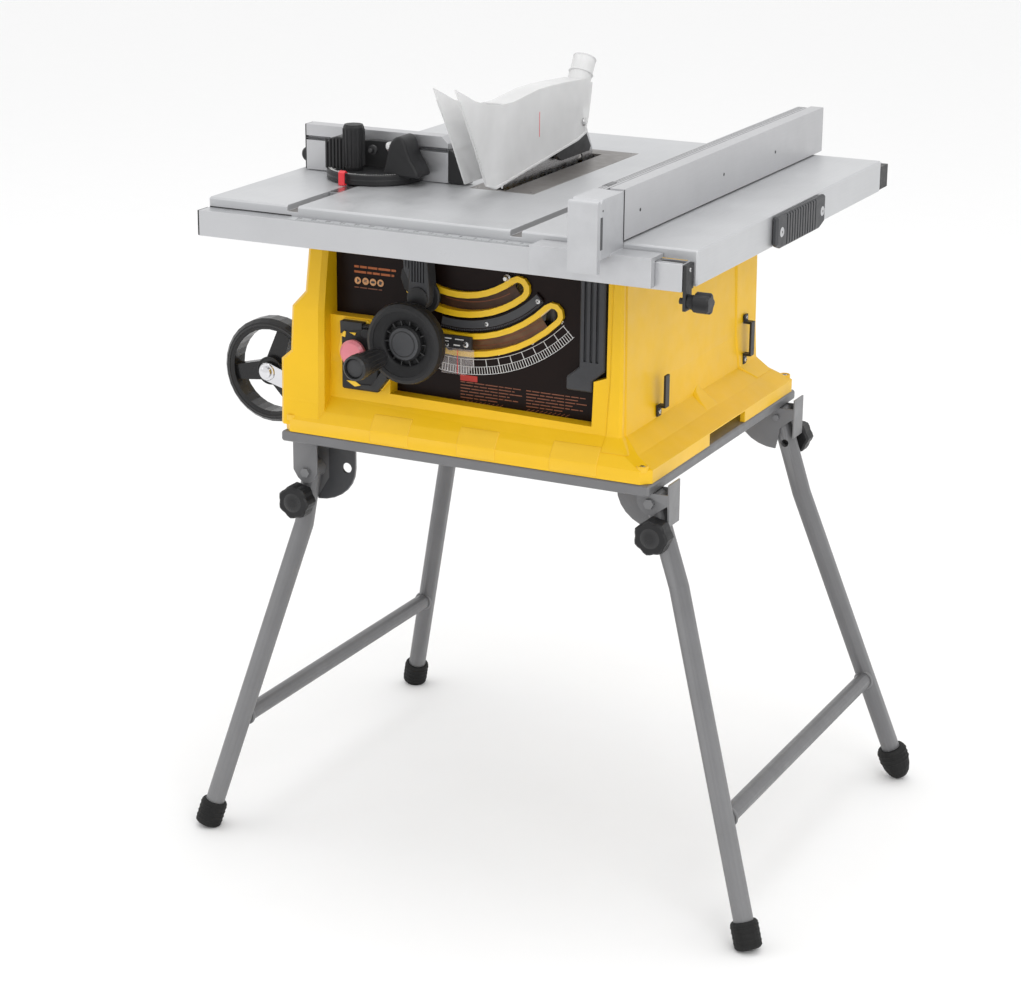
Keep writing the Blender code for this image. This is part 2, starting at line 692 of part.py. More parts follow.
# ---- table, rails and extension ---------------------------------------------------
PLATE_X = (-0.058, 0.032)
PLATE_Y = (-0.111, 0.2135)
PLATE_THICK = 0.003
LEFT_SLOT_X = -0.1935
RIGHT_SLOT_X = 0.1095
SLOT_HALF = 0.0074
SLOT_DEEP = 0.0075


def table_top():
    low = UNDER_TABLE
    table = box("table_top", (TABLE_LEFT, TABLE_SEAM - GAP), (TABLE_FRONT, TABLE_REAR), (low, TABLE_TOP_Z))
    soften(table, 0.002)
    lip = 0.005
    cut(table, box("opening", (PLATE_X[0] + lip, PLATE_X[1] - 0.002), (PLATE_Y[0] + lip, PLATE_Y[1] - lip),
                   (low - 0.01, TABLE_TOP_Z + 0.01)))
    cut(table, box("recess", (PLATE_X[0] - GAP, PLATE_X[1] + GAP), (PLATE_Y[0] - GAP, PLATE_Y[1] + GAP),
                   (TABLE_TOP_Z - PLATE_THICK - GAP, TABLE_TOP_Z + 0.01)))
    for x in (LEFT_SLOT_X, RIGHT_SLOT_X):
        cut(table, box("slot", (x - SLOT_HALF, x + SLOT_HALF), (TABLE_FRONT - 0.01, TABLE_REAR + 0.01),
                       (TABLE_TOP_Z - SLOT_DEEP, TABLE_TOP_Z + 0.01)))
    piece(table, ALUMINIUM, 0.32, 0.9)


def throat_plate():
    plate = box("throat_plate", PLATE_X, PLATE_Y, (TABLE_TOP_Z - PLATE_THICK, TABLE_TOP_Z))
    cut(plate, box("slot", (-0.0242, -0.0096), (-0.106, 0.184),
                   (TABLE_TOP_Z - 0.02, TABLE_TOP_Z + 0.02)))
    piece(plate, PLATE_GREY, 0.4, 0.4)


def rail(name, y, z, wall, colour):
    bar = box(name, (RAIL_LEFT, RAIL_RIGHT), y, z)
    cut(bar, box("bore", (RAIL_LEFT + 0.004, RAIL_RIGHT + 0.01), (y[0] + wall, y[1] - wall),
                 (z[0] + wall, z[1] - wall)))
    piece(bar, colour, 0.35, 0.9)


def slide_bar(name, y, z, wall, block_x, block_y):
    """A bar that runs in a rail, with a plate at its end that carries the extension."""
    clear = wall + 0.0006
    block = box(name, block_x, block_y, (z[0] + 0.001, z[1] - 0.001))
    bar = box("bar", (-0.045, block_x[0] + 0.002), (y[0] + clear, y[1] - clear),
              (z[0] + clear, z[1] - clear))
    add(block, bar)
    return block


def front_slide_bar(y, z, wall):
    """The front bar, whose end plate has a tab below the rail for the locking knob."""
    end = (RAIL_RIGHT + 0.0005, RAIL_RIGHT + 0.0045)
    block = slide_bar("slide_bar_front", y, z, wall, end, (y[0] + 0.001, y[1]))
    tab = box("tab", end, (LOCK_KNOB_AT[0] - 0.009, LOCK_KNOB_AT[0] + 0.009),
              (LOCK_KNOB_AT[1] - 0.010, z[0] + 0.004))
    add(block, tab)
    cut(block, rod("hole", "X", LOCK_KNOB_AT, 0.0045, end[0] - 0.01, end[1] + 0.01, 12))
    piece(block, DARK_GREY, 0.5, 0.3)


def extension_table():
    """A folded top with a deep outer edge that slides out on two bars."""
    low = TABLE_TOP_Z - EXTENSION_DROP
    skin = 0.003
    y = (TABLE_FRONT, EXTENSION_REAR)
    top = box("extension_table", (TABLE_SEAM, EXTENSION_RIGHT), y, (low, TABLE_TOP_Z))
    soften(top, 0.002)
    cut(top, box("under", (TABLE_SEAM - 0.01, EXTENSION_RIGHT - skin), (y[0] + skin, y[1] - skin),
                 (low - 0.01, TABLE_TOP_Z - 0.004)))
    cut(top, box("front_end", (TABLE_SEAM - 0.01, RAIL_RIGHT - 0.004), (y[0] - 0.01, y[0] + skin + 0.001),
                 (low - 0.01, RAIL_TOP + GAP)))
    piece(top, ALUMINIUM, 0.32, 0.9)


def carry_grip():
    face = EXTENSION_RIGHT + GAP
    outline = [(-0.0850, 0.8300), (-0.0700, 0.8250), (0.0650, 0.8250), (0.0830, 0.8310),
               (0.0830, 0.8660), (-0.0850, 0.8660)]
    grip = prism("carry_grip", outline, "X", face, face + 0.0080)
    soften(grip, 0.0025)
    for i in range(12):
        y = -0.0520 + 0.009 * i
        cut(grip, box("rib", (face + 0.0062, face + 0.02), (y - 0.0016, y + 0.0016), (0.80, 0.90)))
    piece(grip, DARK_GREY, 0.6)


LOCK_KNOB_AT = (-0.3300, 0.8125)


def extension_knob():
    """The knob that locks the extension, screwed through the front bar's tab."""
    base = RAIL_RIGHT + 0.0051
    knob = prism("extension_knob", star(0.0135, 0.0030, 5, LOCK_KNOB_AT), "X", base + 0.0070, base + 0.0270)
    soften(knob, 0.0020)
    add(knob, rod("collar", "X", LOCK_KNOB_AT, 0.0085, base, base + 0.0085, 16))
    add(knob, rod("stud", "X", LOCK_KNOB_AT, 0.0038, base - 0.0110, base + 0.002, 12))
    piece(knob, BLACK, 0.5, origin=(base, LOCK_KNOB_AT[0], LOCK_KNOB_AT[1]))


def table_and_rails():
    table_top()
    throat_plate()
    wall = 0.0030
    front_y = (RAIL_FRONT, RAIL_BACK)
    rear_y = (TABLE_REAR + 0.0005, TABLE_REAR + 0.0185)
    front_z = (RAIL_BOTTOM, RAIL_TOP)
    rear_z = (REAR_RAIL_BOTTOM, REAR_RAIL_TOP)
    rail("front_rail", front_y, front_z, wall, ALUMINIUM)
    rail("rear_rail", rear_y, rear_z, wall, ALUMINIUM)
    front_slide_bar(front_y, front_z, wall)
    rear_end = (RAIL_RIGHT + 0.0005, EXTENSION_RIGHT - 0.0005)
    rear_bar = slide_bar("slide_bar_rear", rear_y, rear_z, wall, rear_end, (EXTENSION_REAR + GAP, rear_y[1]))
    piece(rear_bar, DARK_GREY, 0.5, 0.3)
    extension_table()
    carry_grip()
    extension_knob()


# ---- rip fence --------------------------------------------------------------------
LEVER_AXIS = (-0.3838, 0.9235)


def rip_fence():
    low = TABLE_TOP_Z + 0.0018
    outline = [(FENCE_LEFT, low), (FENCE_RIGHT, low), (FENCE_RIGHT, FENCE_TOP), (0.2285, FENCE_TOP),
               (0.2285, 0.9165), (0.2232, 0.9165), (0.2232, 0.9285), (FENCE_LEFT, 0.9285)]
    body = prism("fence_body", outline, "Y", -0.3158, 0.342)
    piece(body, ALUMINIUM, 0.34, 0.9)
    shoe = prism("fence_head", [(-0.3515, 0.8275), (RAIL_FRONT - 0.0006, 0.8275),
                                (RAIL_FRONT - 0.0006, RAIL_TOP + 0.0006), (-0.3175, RAIL_TOP + 0.0006),
                                (-0.3175, 0.8625), (-0.3515, 0.8625)], "X", 0.1440, 0.2970)
    column = prism("column", [(-0.3790, 0.8600), (-0.3165, 0.8600), (-0.3165, 0.9285), (-0.3740, 0.9285),
                              (-0.3790, 0.9240)], "X", FENCE_LEFT, FENCE_RIGHT - 0.0005)
    add(shoe, column)
    piece(shoe, ALUMINIUM, 0.4, 0.8)
    outline = [(-0.3881, 0.8450), (-0.3795, 0.8450), (-0.3795, 0.9235)]
    for i in range(1, 8):
        angle = pi * i / 8
        outline.append((LEVER_AXIS[0] + 0.0043 * cos(angle), LEVER_AXIS[1] + 0.0043 * sin(angle)))
    outline.append((-0.3881, 0.9235))
    lever = prism("fence_lever", outline, "X", FENCE_LEFT, FENCE_RIGHT - 0.0005)
    piece(lever, ALUMINIUM, 0.42, 0.7, origin=(0.228, LEVER_AXIS[0], LEVER_AXIS[1]))


# ---- miter gauge ------------------------------------------------------------------
MITER_PIVOT = (LEFT_SLOT_X, -0.107)
MITER_HEAD_RADIUS = 0.068
MITER_FENCE_END = -0.0925
MITER_FENCE_TOP = 0.9290
MITER_HEAD_HIGH = 0.0135


def miter_gauge():
    bar = box("miter_bar", (LEFT_SLOT_X - 0.0068, LEFT_SLOT_X + 0.0068), (-0.217, 0.085),
              (TABLE_TOP_Z - SLOT_DEEP + 0.0008, TABLE_TOP_Z - 0.0002))
    piece(bar, STEEL, 0.3, 1.0)
    base = TABLE_TOP_Z + 0.0006
    outline = []
    for i in range(19):
        angle = pi + pi * i / 18
        outline.append((MITER_PIVOT[0] - 0.002 + MITER_HEAD_RADIUS * cos(angle),
                        MITER_PIVOT[1] + 0.004 + MITER_HEAD_RADIUS * sin(angle)))
    head = prism("miter_head", outline, "Z", base, base + MITER_HEAD_HIGH)
    add(head, box("block", (-0.2520, -0.2230), (-0.140, -0.108), (base + 0.008, 0.922)))
    rib = [(-0.1720, base + 0.008), (-0.1320, base + 0.008), (-0.1480, 0.925), (-0.1580, 0.929),
           (-0.1650, 0.920)]
    add(head, prism("rib", rib, "Y", -0.148, -0.108))
    add(head, rod("post", "Z", (-0.1830, -0.130), 0.0085, base + 0.008, 0.905, 14))
    piece(head, BLACK, 0.5, origin=(MITER_PIVOT[0], MITER_PIVOT[1], base))
    knob_base = (-0.2080, -0.1400, base + MITER_HEAD_HIGH + 0.0004)
    knob = lathe("miter_knob", [(0, 0), (0.0110, 0), (0.0126, 0.004), (0.0136, 0.046), (0.0136, 0.0545),
                                (0.0118, 0.0580), (0, 0.0580)], knob_base, (0, 0, 1), 14)
    piece(knob, BLACK, 0.45, origin=knob_base)
    low = TABLE_TOP_Z + 0.0010
    rear = -0.0830
    front = -0.1026
    outline = [(front, low), (rear, low), (rear, MITER_FENCE_TOP), (front, MITER_FENCE_TOP), (front, 0.9140),
               (front + 0.004, 0.9125), (front + 0.004, 0.9100), (front, 0.9085)]
    fence = prism("miter_fence", outline, "X", -0.3005, MITER_FENCE_END)
    corner = 0.0100
    cut(fence, prism("corner", [(MITER_FENCE_END - corner, MITER_FENCE_TOP + 0.001),
                                (MITER_FENCE_END + 0.001, MITER_FENCE_TOP - corner),
                                (MITER_FENCE_END + 0.001, MITER_FENCE_TOP + 0.001)], "Y", front - 0.01,
                     rear + 0.01))
    piece(fence, ALUMINIUM, 0.34, 0.9)
    cap_left = MITER_FENCE_END + GAP
    cap = prism("miter_fence_cap", [(cap_left, low), (-0.0670, low), (-0.0670, 0.8790), (-0.0780, 0.8970),
                                    (-0.0850, 0.9100), (cap_left, 0.9130)], "Y", front, rear)
    piece(cap, BLACK, 0.5)


# ---- bevel carriage, lift, motor, blade -------------------------------------------
POST_X = -0.074
POST_YS = (-0.150, 0.168)
BEAM_Z = (0.612, 0.632)


def tilt_carriage():
    """The casting that swings with the bevel: end plates, a low beam and two guide posts."""
    front = (-0.1900, -0.1850)
    rear = (0.1905, 0.1955)
    body = prism("tilt_carriage", arc_band(0.078, 0.2000, radians(-26), radians(8), 8), "Y", *front)
    add(body, box("foot", (-0.100, -0.042), front, (BEAM_Z[0], 0.700)))
    end = prism("end", arc_band(0.078, 0.2000, radians(-26), radians(8), 8), "Y", *rear)
    add(end, box("foot", (-0.100, -0.042), rear, (BEAM_Z[0], 0.700)))
    add(body, box("beam", (-0.086, -0.062), (front[0] + 0.002, rear[1] - 0.002), BEAM_Z))
    add(body, end)
    add(body, box("splitter_clamp", (-0.0330, BLADE_X - 0.0015), (0.1600, rear[0] + 0.001), (0.7500, 0.7860)))
    for y in POST_YS:
        add(body, rod("post", "Z", (POST_X, y), 0.0070, BEAM_Z[0] + 0.004, 0.8380, 16))
    for radius, angle, hole in ((HANDWHEEL_R, HANDWHEEL_ANGLE, 0.0066), (LEVER_R, LEVER_ANGLE, 0.0056)):
        cut(body, rod("hole", "Y", at_tilt(radius, angle), hole, front[0] - 0.01, front[1] + 0.01, 16))
    piece(body, STAND_GREY, 0.5, 0.7, origin=(TILT_X, -0.1875, TILT_Z))


def trunnion_rear():
    """The fixed half ring under the table that guides the rear of the bevel carriage."""
    ring = prism("trunnion_rear", arc_band(0.0450, 0.0765, radians(-66), radians(66), 14), "Y", 0.1895,
                 0.1965)
    top = UNDER_TABLE - GAP
    add(ring, box("ears", (TILT_X - 0.072, TILT_X - 0.040), (0.1865, 0.1995), (0.8420, top)))
    add(ring, box("ears", (TILT_X + 0.040, TILT_X + 0.072), (0.1865, 0.1995), (0.8420, top)))
    piece(ring, STAND_GREY, 0.5, 0.7)


def lift_slide():
    """The casting that rides up and down the guide posts and holds the arbor."""
    low = 0.745
    high = 0.835
    slide = box("lift_slide", (-0.0620, -0.0500), (-0.165, 0.182), (low, high))
    for y in POST_YS:
        add(slide, rod("boss", "Z", (POST_X, y), 0.0135, low, high, 20))
    add(slide, rod("bearing", "X", (ARBOR_Y, ARBOR_Z - 0.0), 0.0175, -0.0520, -0.0340, 20))
    for y in POST_YS:
        cut(slide, rod("bore", "Z", (POST_X, y), 0.0077, low - 0.01, high + 0.01, 16))
    cut(slide, rod("bore", "X", (ARBOR_Y, ARBOR_Z), 0.0108, -0.08, -0.02, 20))
    piece(slide, STAND_GREY, 0.5, 0.7, origin=(-0.056, ARBOR_Y, low))


def motor():
    drop = 0.045
    centre = (ARBOR_Y, ARBOR_Z - drop)
    body = lathe("motor", [(0, 0), (0.0300, 0), (0.0400, 0.008), (0.0420, 0.030), (0.0420, 0.112),
                           (0, 0.112)],
                 (-0.1900, centre[0], centre[1]), (1, 0, 0), 24)
    add(body, box("gearbox", (-0.0800, -0.0630), (ARBOR_Y - 0.032, ARBOR_Y + 0.032), (0.7480, 0.8330)))
    for i in range(8):
        angle = 2 * pi * (i + 0.5) / 8
        cut(body, rod("vent", "X", (centre[0] + 0.026 * cos(angle), centre[1] + 0.026 * sin(angle)), 0.0045,
                      -0.20, -0.184, 8))
    piece(body, BLACK, 0.5)


def blade():
    """A 254 mm saw blade with carbide-tipped teeth and a round bore."""
    teeth = 40
    outline = []
    for i in range(teeth):
        for share, radius in ((0.0, BLADE_RADIUS), (0.30, BLADE_RADIUS - 0.0012),
                              (0.62, BLADE_RADIUS - 0.0075),
                              (0.93, BLADE_RADIUS - 0.0072)):
            angle = 2 * pi * (i + share) / teeth
            outline.append((ARBOR_Y + radius * cos(angle), ARBOR_Z + radius * sin(angle)))
    half = BLADE_THICK / 2
    disc = prism("blade", outline, "X", BLADE_X - half, BLADE_X + half)
    cut(disc, rod("bore", "X", (ARBOR_Y, ARBOR_Z), 0.0104, BLADE_X - 0.01, BLADE_X + 0.01, 24))
    piece(disc, STEEL, 0.3, 1.0, origin=(BLADE_X, ARBOR_Y, ARBOR_Z))


def arbor():
    """The blade's shaft with its two clamping flanges and nut."""
    half = BLADE_THICK / 2 + GAP
    inner = BLADE_X - half
    outer = BLADE_X + half
    end = 0.0
    profile = [(0, 0), (0.0100, 0), (0.0100, 0.0265), (0.0220, 0.0285), (0.0220, inner + 0.0600),
               (0.0100, inner + 0.0600), (0.0100, outer + 0.0600), (0.0220, outer + 0.0600),
               (0.0220, outer + 0.0640), (0.0130, outer + 0.0650), (0.0130, outer + 0.0740),
               (0.0075, outer + 0.0740), (0.0075, end + 0.0600), (0, end + 0.0600)]
    shaft = lathe("arbor", profile, (-0.0600, ARBOR_Y, ARBOR_Z), (1, 0, 0), 24)
    piece(shaft, STEEL, 0.3, 1.0, origin=(BLADE_X, ARBOR_Y, ARBOR_Z))


def splitter():
    outline = [(0.1530, 0.745), (0.1530, 0.830), (0.1460, 0.866), (0.1330, 0.894), (0.1160, 0.914),
               (0.1040, 0.928), (0.1110, 0.936), (0.1300, 0.932), (0.1560, 0.908), (0.1740, 0.878),
               (0.1790, 0.840), (0.1885, 0.812), (0.1885, 0.745)]
    knife = prism("splitter", outline, "X", BLADE_X - 0.0011, BLADE_X + 0.0011)
    cut(knife, rod("pin_hole", "X", GUARD_PIVOT, 0.0037, BLADE_X - 0.01, BLADE_X + 0.01, 12))
    piece(knife, STEEL, 0.35, 1.0)


GUARD_PIVOT = (0.1140, 0.9240)
GUARD_HALF = 0.0155
GUARD_WALL = 0.0018


def guard_mount():
    """The black clamp astride the splitter; its cheeks run beside the blade and meet over the top."""
    low = 0.8805
    bridge = (0.1060, 0.1220)
    outline = [(0.0420, 0.8900), (0.0580, low), (0.1440, low), (0.1490, 0.8860), (0.1340, 0.9060),
               (0.1255, 0.9240), (bridge[1], 0.9340), (bridge[1], 0.9425), (bridge[0], 0.9425),
               (bridge[0], 0.9340), (0.1020, 0.9230), (0.0920, 0.9035)]
    mount = prism("guard_mount", outline, "X", BLADE_X - 0.0105, BLADE_X + 0.0105)
    cut(mount, prism("blade_slot", [(0.03, 0.87), (0.1520, 0.87), (0.1520, 0.8960), (0.1200, 0.9130),
                                    (0.1030, 0.9190), (0.1030, 0.9600), (0.03, 0.9600)], "X",
                     BLADE_X - 0.0042, BLADE_X + 0.0042))
    cut(mount, box("splitter_slot", (BLADE_X - 0.0015, BLADE_X + 0.0015), (0.09, 0.19), (0.87, 0.9380)))
    cut(mount, rod("pin_hole", "X", GUARD_PIVOT, 0.0037, BLADE_X - 0.03, BLADE_X + 0.03, 12))
    piece(mount, BLACK, 0.5)


def blade_guard():
    """The clear shark-fin guard: two walls under a narrow roof, with a dust spout and pivot pin."""
    outline = [(-0.2500, 1.0150), (-0.2040, 0.9445), (-0.1750, 0.8960), (-0.1680, 0.8850), (-0.1440, 0.8775),
               (0.0950, 0.9020), (0.1220, 0.9090), (0.1300, 0.9300), (0.1370, 0.9560), (0.1400, 0.9720),
               (0.1180, 0.9800), (0.0540, 0.9835), (0.0127, 0.9850), (-0.0250, 0.9850), (-0.0600, 0.9820),
               (-0.0950, 0.9790), (-0.1300, 0.9800), (-0.1620, 0.9850), (-0.1980, 0.9940), (-0.2280, 1.0065)]
    guard = prism("blade_guard", outline, "X", BLADE_X - GUARD_HALF, BLADE_X + GUARD_HALF)
    spout = Vector((0, 0.543, 0.840)).normalized()
    foot = Vector((BLADE_X, 0.1180, 0.9560))
    add(guard, lathe("spout", [(0, 0), (0.0155, 0), (0.0155, 0.0560), (0, 0.0560)], foot, spout, 20))
    drop = 0.0022
    hollow = [(-0.32, 0.85), (0.20, 0.85), (0.20, 0.9400), (0.1290, 0.9400), (0.1335, 0.9560),
              (0.1365, 0.9690),
              (0.1170, 0.9800 - drop), (0.0540, 0.9835 - drop), (0.0127, 0.9850 - drop),
              (-0.0250, 0.9850 - drop), (-0.0600, 0.9820 - drop), (-0.0950, 0.9790 - drop),
              (-0.1180, 0.9795 - drop), (-0.1200, 1.05), (-0.32, 1.05)]
    cut(guard, prism("hollow", hollow, "X", BLADE_X - GUARD_HALF + GUARD_WALL,
                     BLADE_X + GUARD_HALF - GUARD_WALL))
    cut(guard, lathe("bore", [(0, 0), (0.0136, 0), (0.0136, 0.0700), (0, 0.0700)], foot, spout, 20))
    cut(guard, box("left_relief", (BLADE_X - GUARD_HALF - 0.01, BLADE_X), (-0.30, 0.0), (0.85, 0.8850)))
    add(guard, rod("pin", "X", GUARD_PIVOT, 0.0033, BLADE_X - GUARD_HALF - 0.0025,
                   BLADE_X + GUARD_HALF + 0.0025, 12))
    piece(guard, MILKY, 0.25, alpha=0.55, origin=(BLADE_X, GUARD_PIVOT[0], GUARD_PIVOT[1]))


def bevel_pointer():
    """The pointer block in front of the scale, on a stem through the lower slot."""
    plate = box("bevel_pointer", (-0.0460, 0.0), (-0.2135, -0.2088), (0.6640, 0.7040))
    stem_at = at_tilt(LOWER_SLOT[0], radians(-3.5))
    add(plate, rod("stem", "Y", stem_at, 0.0050, -0.2100, -0.1903, 12))
    piece(plate, BLACK, 0.4)


def handwheel():
    """The dished height handwheel and its shaft."""
    centre = at_tilt(HANDWHEEL_R, HANDWHEEL_ANGLE)
    front = -0.2660
    profile = [(0, 0.0040), (0.0200, 0.0040), (0.0225, 0.0070), (0.0235, 0.0145), (0.0400, 0.0145),
               (0.0420, 0.0010),
               (0.0460, 0.0), (0.0505, 0.0025), (HANDWHEEL_RADIUS, 0.0080), (0.0505, 0.0200),
               (0.0430, 0.0230),
               (0.0240, 0.0200), (0.0140, 0.0250), (0.0120, 0.0340), (0.0060, 0.0345), (0.0060, 0.0860),
               (0, 0.0860)]
    wheel = lathe("handwheel", profile, (centre[0], front, centre[1]), (0, 1, 0), 32)
    piece(wheel, BLACK, 0.45, origin=(centre[0], front, centre[1]))
    knob_at = (-0.1010, 0.6795)
    knob = lathe("crank_knob", [(0, 0), (0.0110, 0), (0.0125, 0.004), (0.0140, 0.034), (0.0165, 0.0560),
                                (0.0158, 0.0640), (0.0130, 0.0665), (0.0118, 0.0620), (0, 0.0620)],
                 (knob_at[0], front - 0.0006, knob_at[1]), (0, -1, 0), 20)
    piece(knob, BLACK, 0.5, origin=(knob_at[0], front, knob_at[1]))


def bevel_lever():
    """The ribbed locking lever of the bevel, on a stud through the upper slot."""
    pivot = at_tilt(LEVER_R, LEVER_ANGLE)
    front = -0.2330
    back = -0.2100
    outline = []
    for i in range(9):
        angle = pi + pi * i / 8
        outline.append((pivot[0] + 0.0150 * cos(angle), pivot[1] + 0.0150 * sin(angle)))
    outline += [(pivot[0] + 0.0150, pivot[1] + 0.010), (pivot[0] + 0.0110, pivot[1] + 0.058),
                (pivot[0] - 0.0110, pivot[1] + 0.058), (pivot[0] - 0.0150, pivot[1] + 0.010)]
    lever = prism("bevel_lever", outline, "Y", front, back)
    soften(lever, 0.002)
    for i in range(5):
        x = pivot[0] - 0.008 + 0.004 * i
        cut(lever, box("rib", (x - 0.0009, x + 0.0009), (front - 0.01, front + 0.002),
                       (pivot[1] + 0.02, 0.83)))
    add(lever, rod("stud", "Y", pivot, 0.0050, back - 0.002, -0.1830, 14))
    piece(lever, DARK_GREY, 0.5, origin=(pivot[0], back, pivot[1]))


def cutting_unit():
    tilt_carriage()
    trunnion_rear()
    lift_slide()
    motor()
    blade()
    arbor()
    splitter()
    guard_mount()
    blade_guard()
    bevel_pointer()
    handwheel()
    bevel_lever()


clear_scene()
stand()
body_shell()
wheels()
table_and_rails()
rip_fence()
miter_gauge()
cutting_unit()
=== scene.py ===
from collections import namedtuple
from math import cos, pi, radians, sin

import bmesh
import bpy
from mathutils import Matrix, Vector


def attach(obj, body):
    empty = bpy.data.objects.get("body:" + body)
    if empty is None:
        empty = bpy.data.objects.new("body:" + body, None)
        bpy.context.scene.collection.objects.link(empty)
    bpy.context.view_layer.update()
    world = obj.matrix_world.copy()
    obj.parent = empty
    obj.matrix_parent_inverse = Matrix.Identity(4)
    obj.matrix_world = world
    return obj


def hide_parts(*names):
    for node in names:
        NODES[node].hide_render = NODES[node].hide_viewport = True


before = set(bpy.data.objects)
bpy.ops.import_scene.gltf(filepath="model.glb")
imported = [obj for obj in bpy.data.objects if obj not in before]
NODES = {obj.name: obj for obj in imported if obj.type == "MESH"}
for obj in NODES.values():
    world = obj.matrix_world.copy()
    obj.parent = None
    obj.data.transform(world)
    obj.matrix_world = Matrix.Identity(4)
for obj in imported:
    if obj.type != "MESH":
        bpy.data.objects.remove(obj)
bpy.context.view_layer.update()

# The saw's own centre line, in the frame's coordinates.
CENTRE = Vector((-0.0164, 0.0178, 0.0))

# Heights and faces, in metres from the floor and from the saw's own centre line.
TABLE_Z = 0.869
RAIL_TOP = 0.8565
PANEL_Y = -0.203
PRINT_Y = PANEL_Y - 0.0002
FENCE_RIGHT = 0.247

# The bevel axis in X and Z, and what turns about it: radius in metres, place in degrees.
TILT = (-0.021, 0.871)
HANDWHEEL_R = 0.1795
HANDWHEEL_DEGREES = -16.0
HANDWHEEL_FRONT = -0.266
LEVER_R = 0.1282
LEVER_DEGREES = -20.4
POINTER_DEGREES = -3.5
POINTER_FRONT = -0.2137
SCALE_RADII = (0.198, 0.2074, 0.217)
SCALE_FIRST = -10
SCALE_LAST = 45
TEETH = 62

MITER_PIVOT = (-0.1935, -0.107)
MITER_BASE = TABLE_Z + 0.0006
MITER_RADIUS = 0.064
WHEEL = (-0.338, 0.603)
WHEEL_HALF = 0.015
Leg = namedtuple("Leg", "pivot_x pivot_z top_y bend_x bend_z foot_x")
LEFT_LEG = Leg(-0.2375, 0.498, 0.206, -0.2515, 0.4212, -0.3604)
RIGHT_LEG = Leg(0.2506, 0.5314, 0.214, 0.2857, 0.425, 0.4251)
FOOT_Y = 0.293
BOX_FACES = ((0, 1, 2, 3), (4, 5, 6, 7), (0, 1, 5, 4), (1, 2, 6, 5), (2, 3, 7, 6), (3, 0, 4, 7))
UP = (0, 0, 1)
FRONT = (0, -1, 0)
BACK = (0, 1, 0)
RIGHT = (1, 0, 0)


# ---- materials ----------------------------------------------------------------------
def principled(name):
    made = bpy.data.materials.new(name)
    made.use_nodes = True
    return made, made.node_tree, made.node_tree.nodes["Principled BSDF"]


def scaled_coords(tree, stretch):
    """The object coordinates, drawn out along each axis."""
    coords = tree.nodes.new("ShaderNodeTexCoord")
    mapping = tree.nodes.new("ShaderNodeMapping")
    mapping.inputs["Scale"].default_value = stretch
    tree.links.new(coords.outputs["Object"], mapping.inputs["Vector"])
    return mapping.outputs["Vector"]


def noise(tree, vector, scale, detail=3.0, rough=0.55):
    made = tree.nodes.new("ShaderNodeTexNoise")
    made.inputs["Scale"].default_value = scale
    made.inputs["Detail"].default_value = detail
    made.inputs["Roughness"].default_value = rough
    tree.links.new(vector, made.inputs["Vector"])
    return made.outputs["Fac"]


def remap(tree, value, low, high, start=0.3, end=0.7):
    made = tree.nodes.new("ShaderNodeMapRange")
    made.inputs["From Min"].default_value = start
    made.inputs["From Max"].default_value = end
    made.inputs["To Min"].default_value = low
    made.inputs["To Max"].default_value = high
    tree.links.new(value, made.inputs["Value"])
    return made.outputs["Result"]


def shaded(colour, factor):
    return tuple(min(1.0, part * factor) for part in colour[:3]) + (1.0,)


def mix_colours(tree, value, low, high):
    made = tree.nodes.new("ShaderNodeMix")
    made.data_type = "RGBA"
    tree.links.new(value, made.inputs["Factor"])
    for socket, given in (("A", low), ("B", high)):
        target = [i for i in made.inputs if i.name == socket and i.type == "RGBA"][0]
        if isinstance(given, tuple):
            target.default_value = given
        else:
            tree.links.new(given, target)
    return [o for o in made.outputs if o.type == "RGBA"][0]


def edge_light(tree, amount):
    """Bright where an edge sticks out, as wear leaves it."""
    shape = tree.nodes.new("ShaderNodeNewGeometry")
    return remap(tree, shape.outputs["Pointiness"], 0.0, amount, 0.515, 0.56)


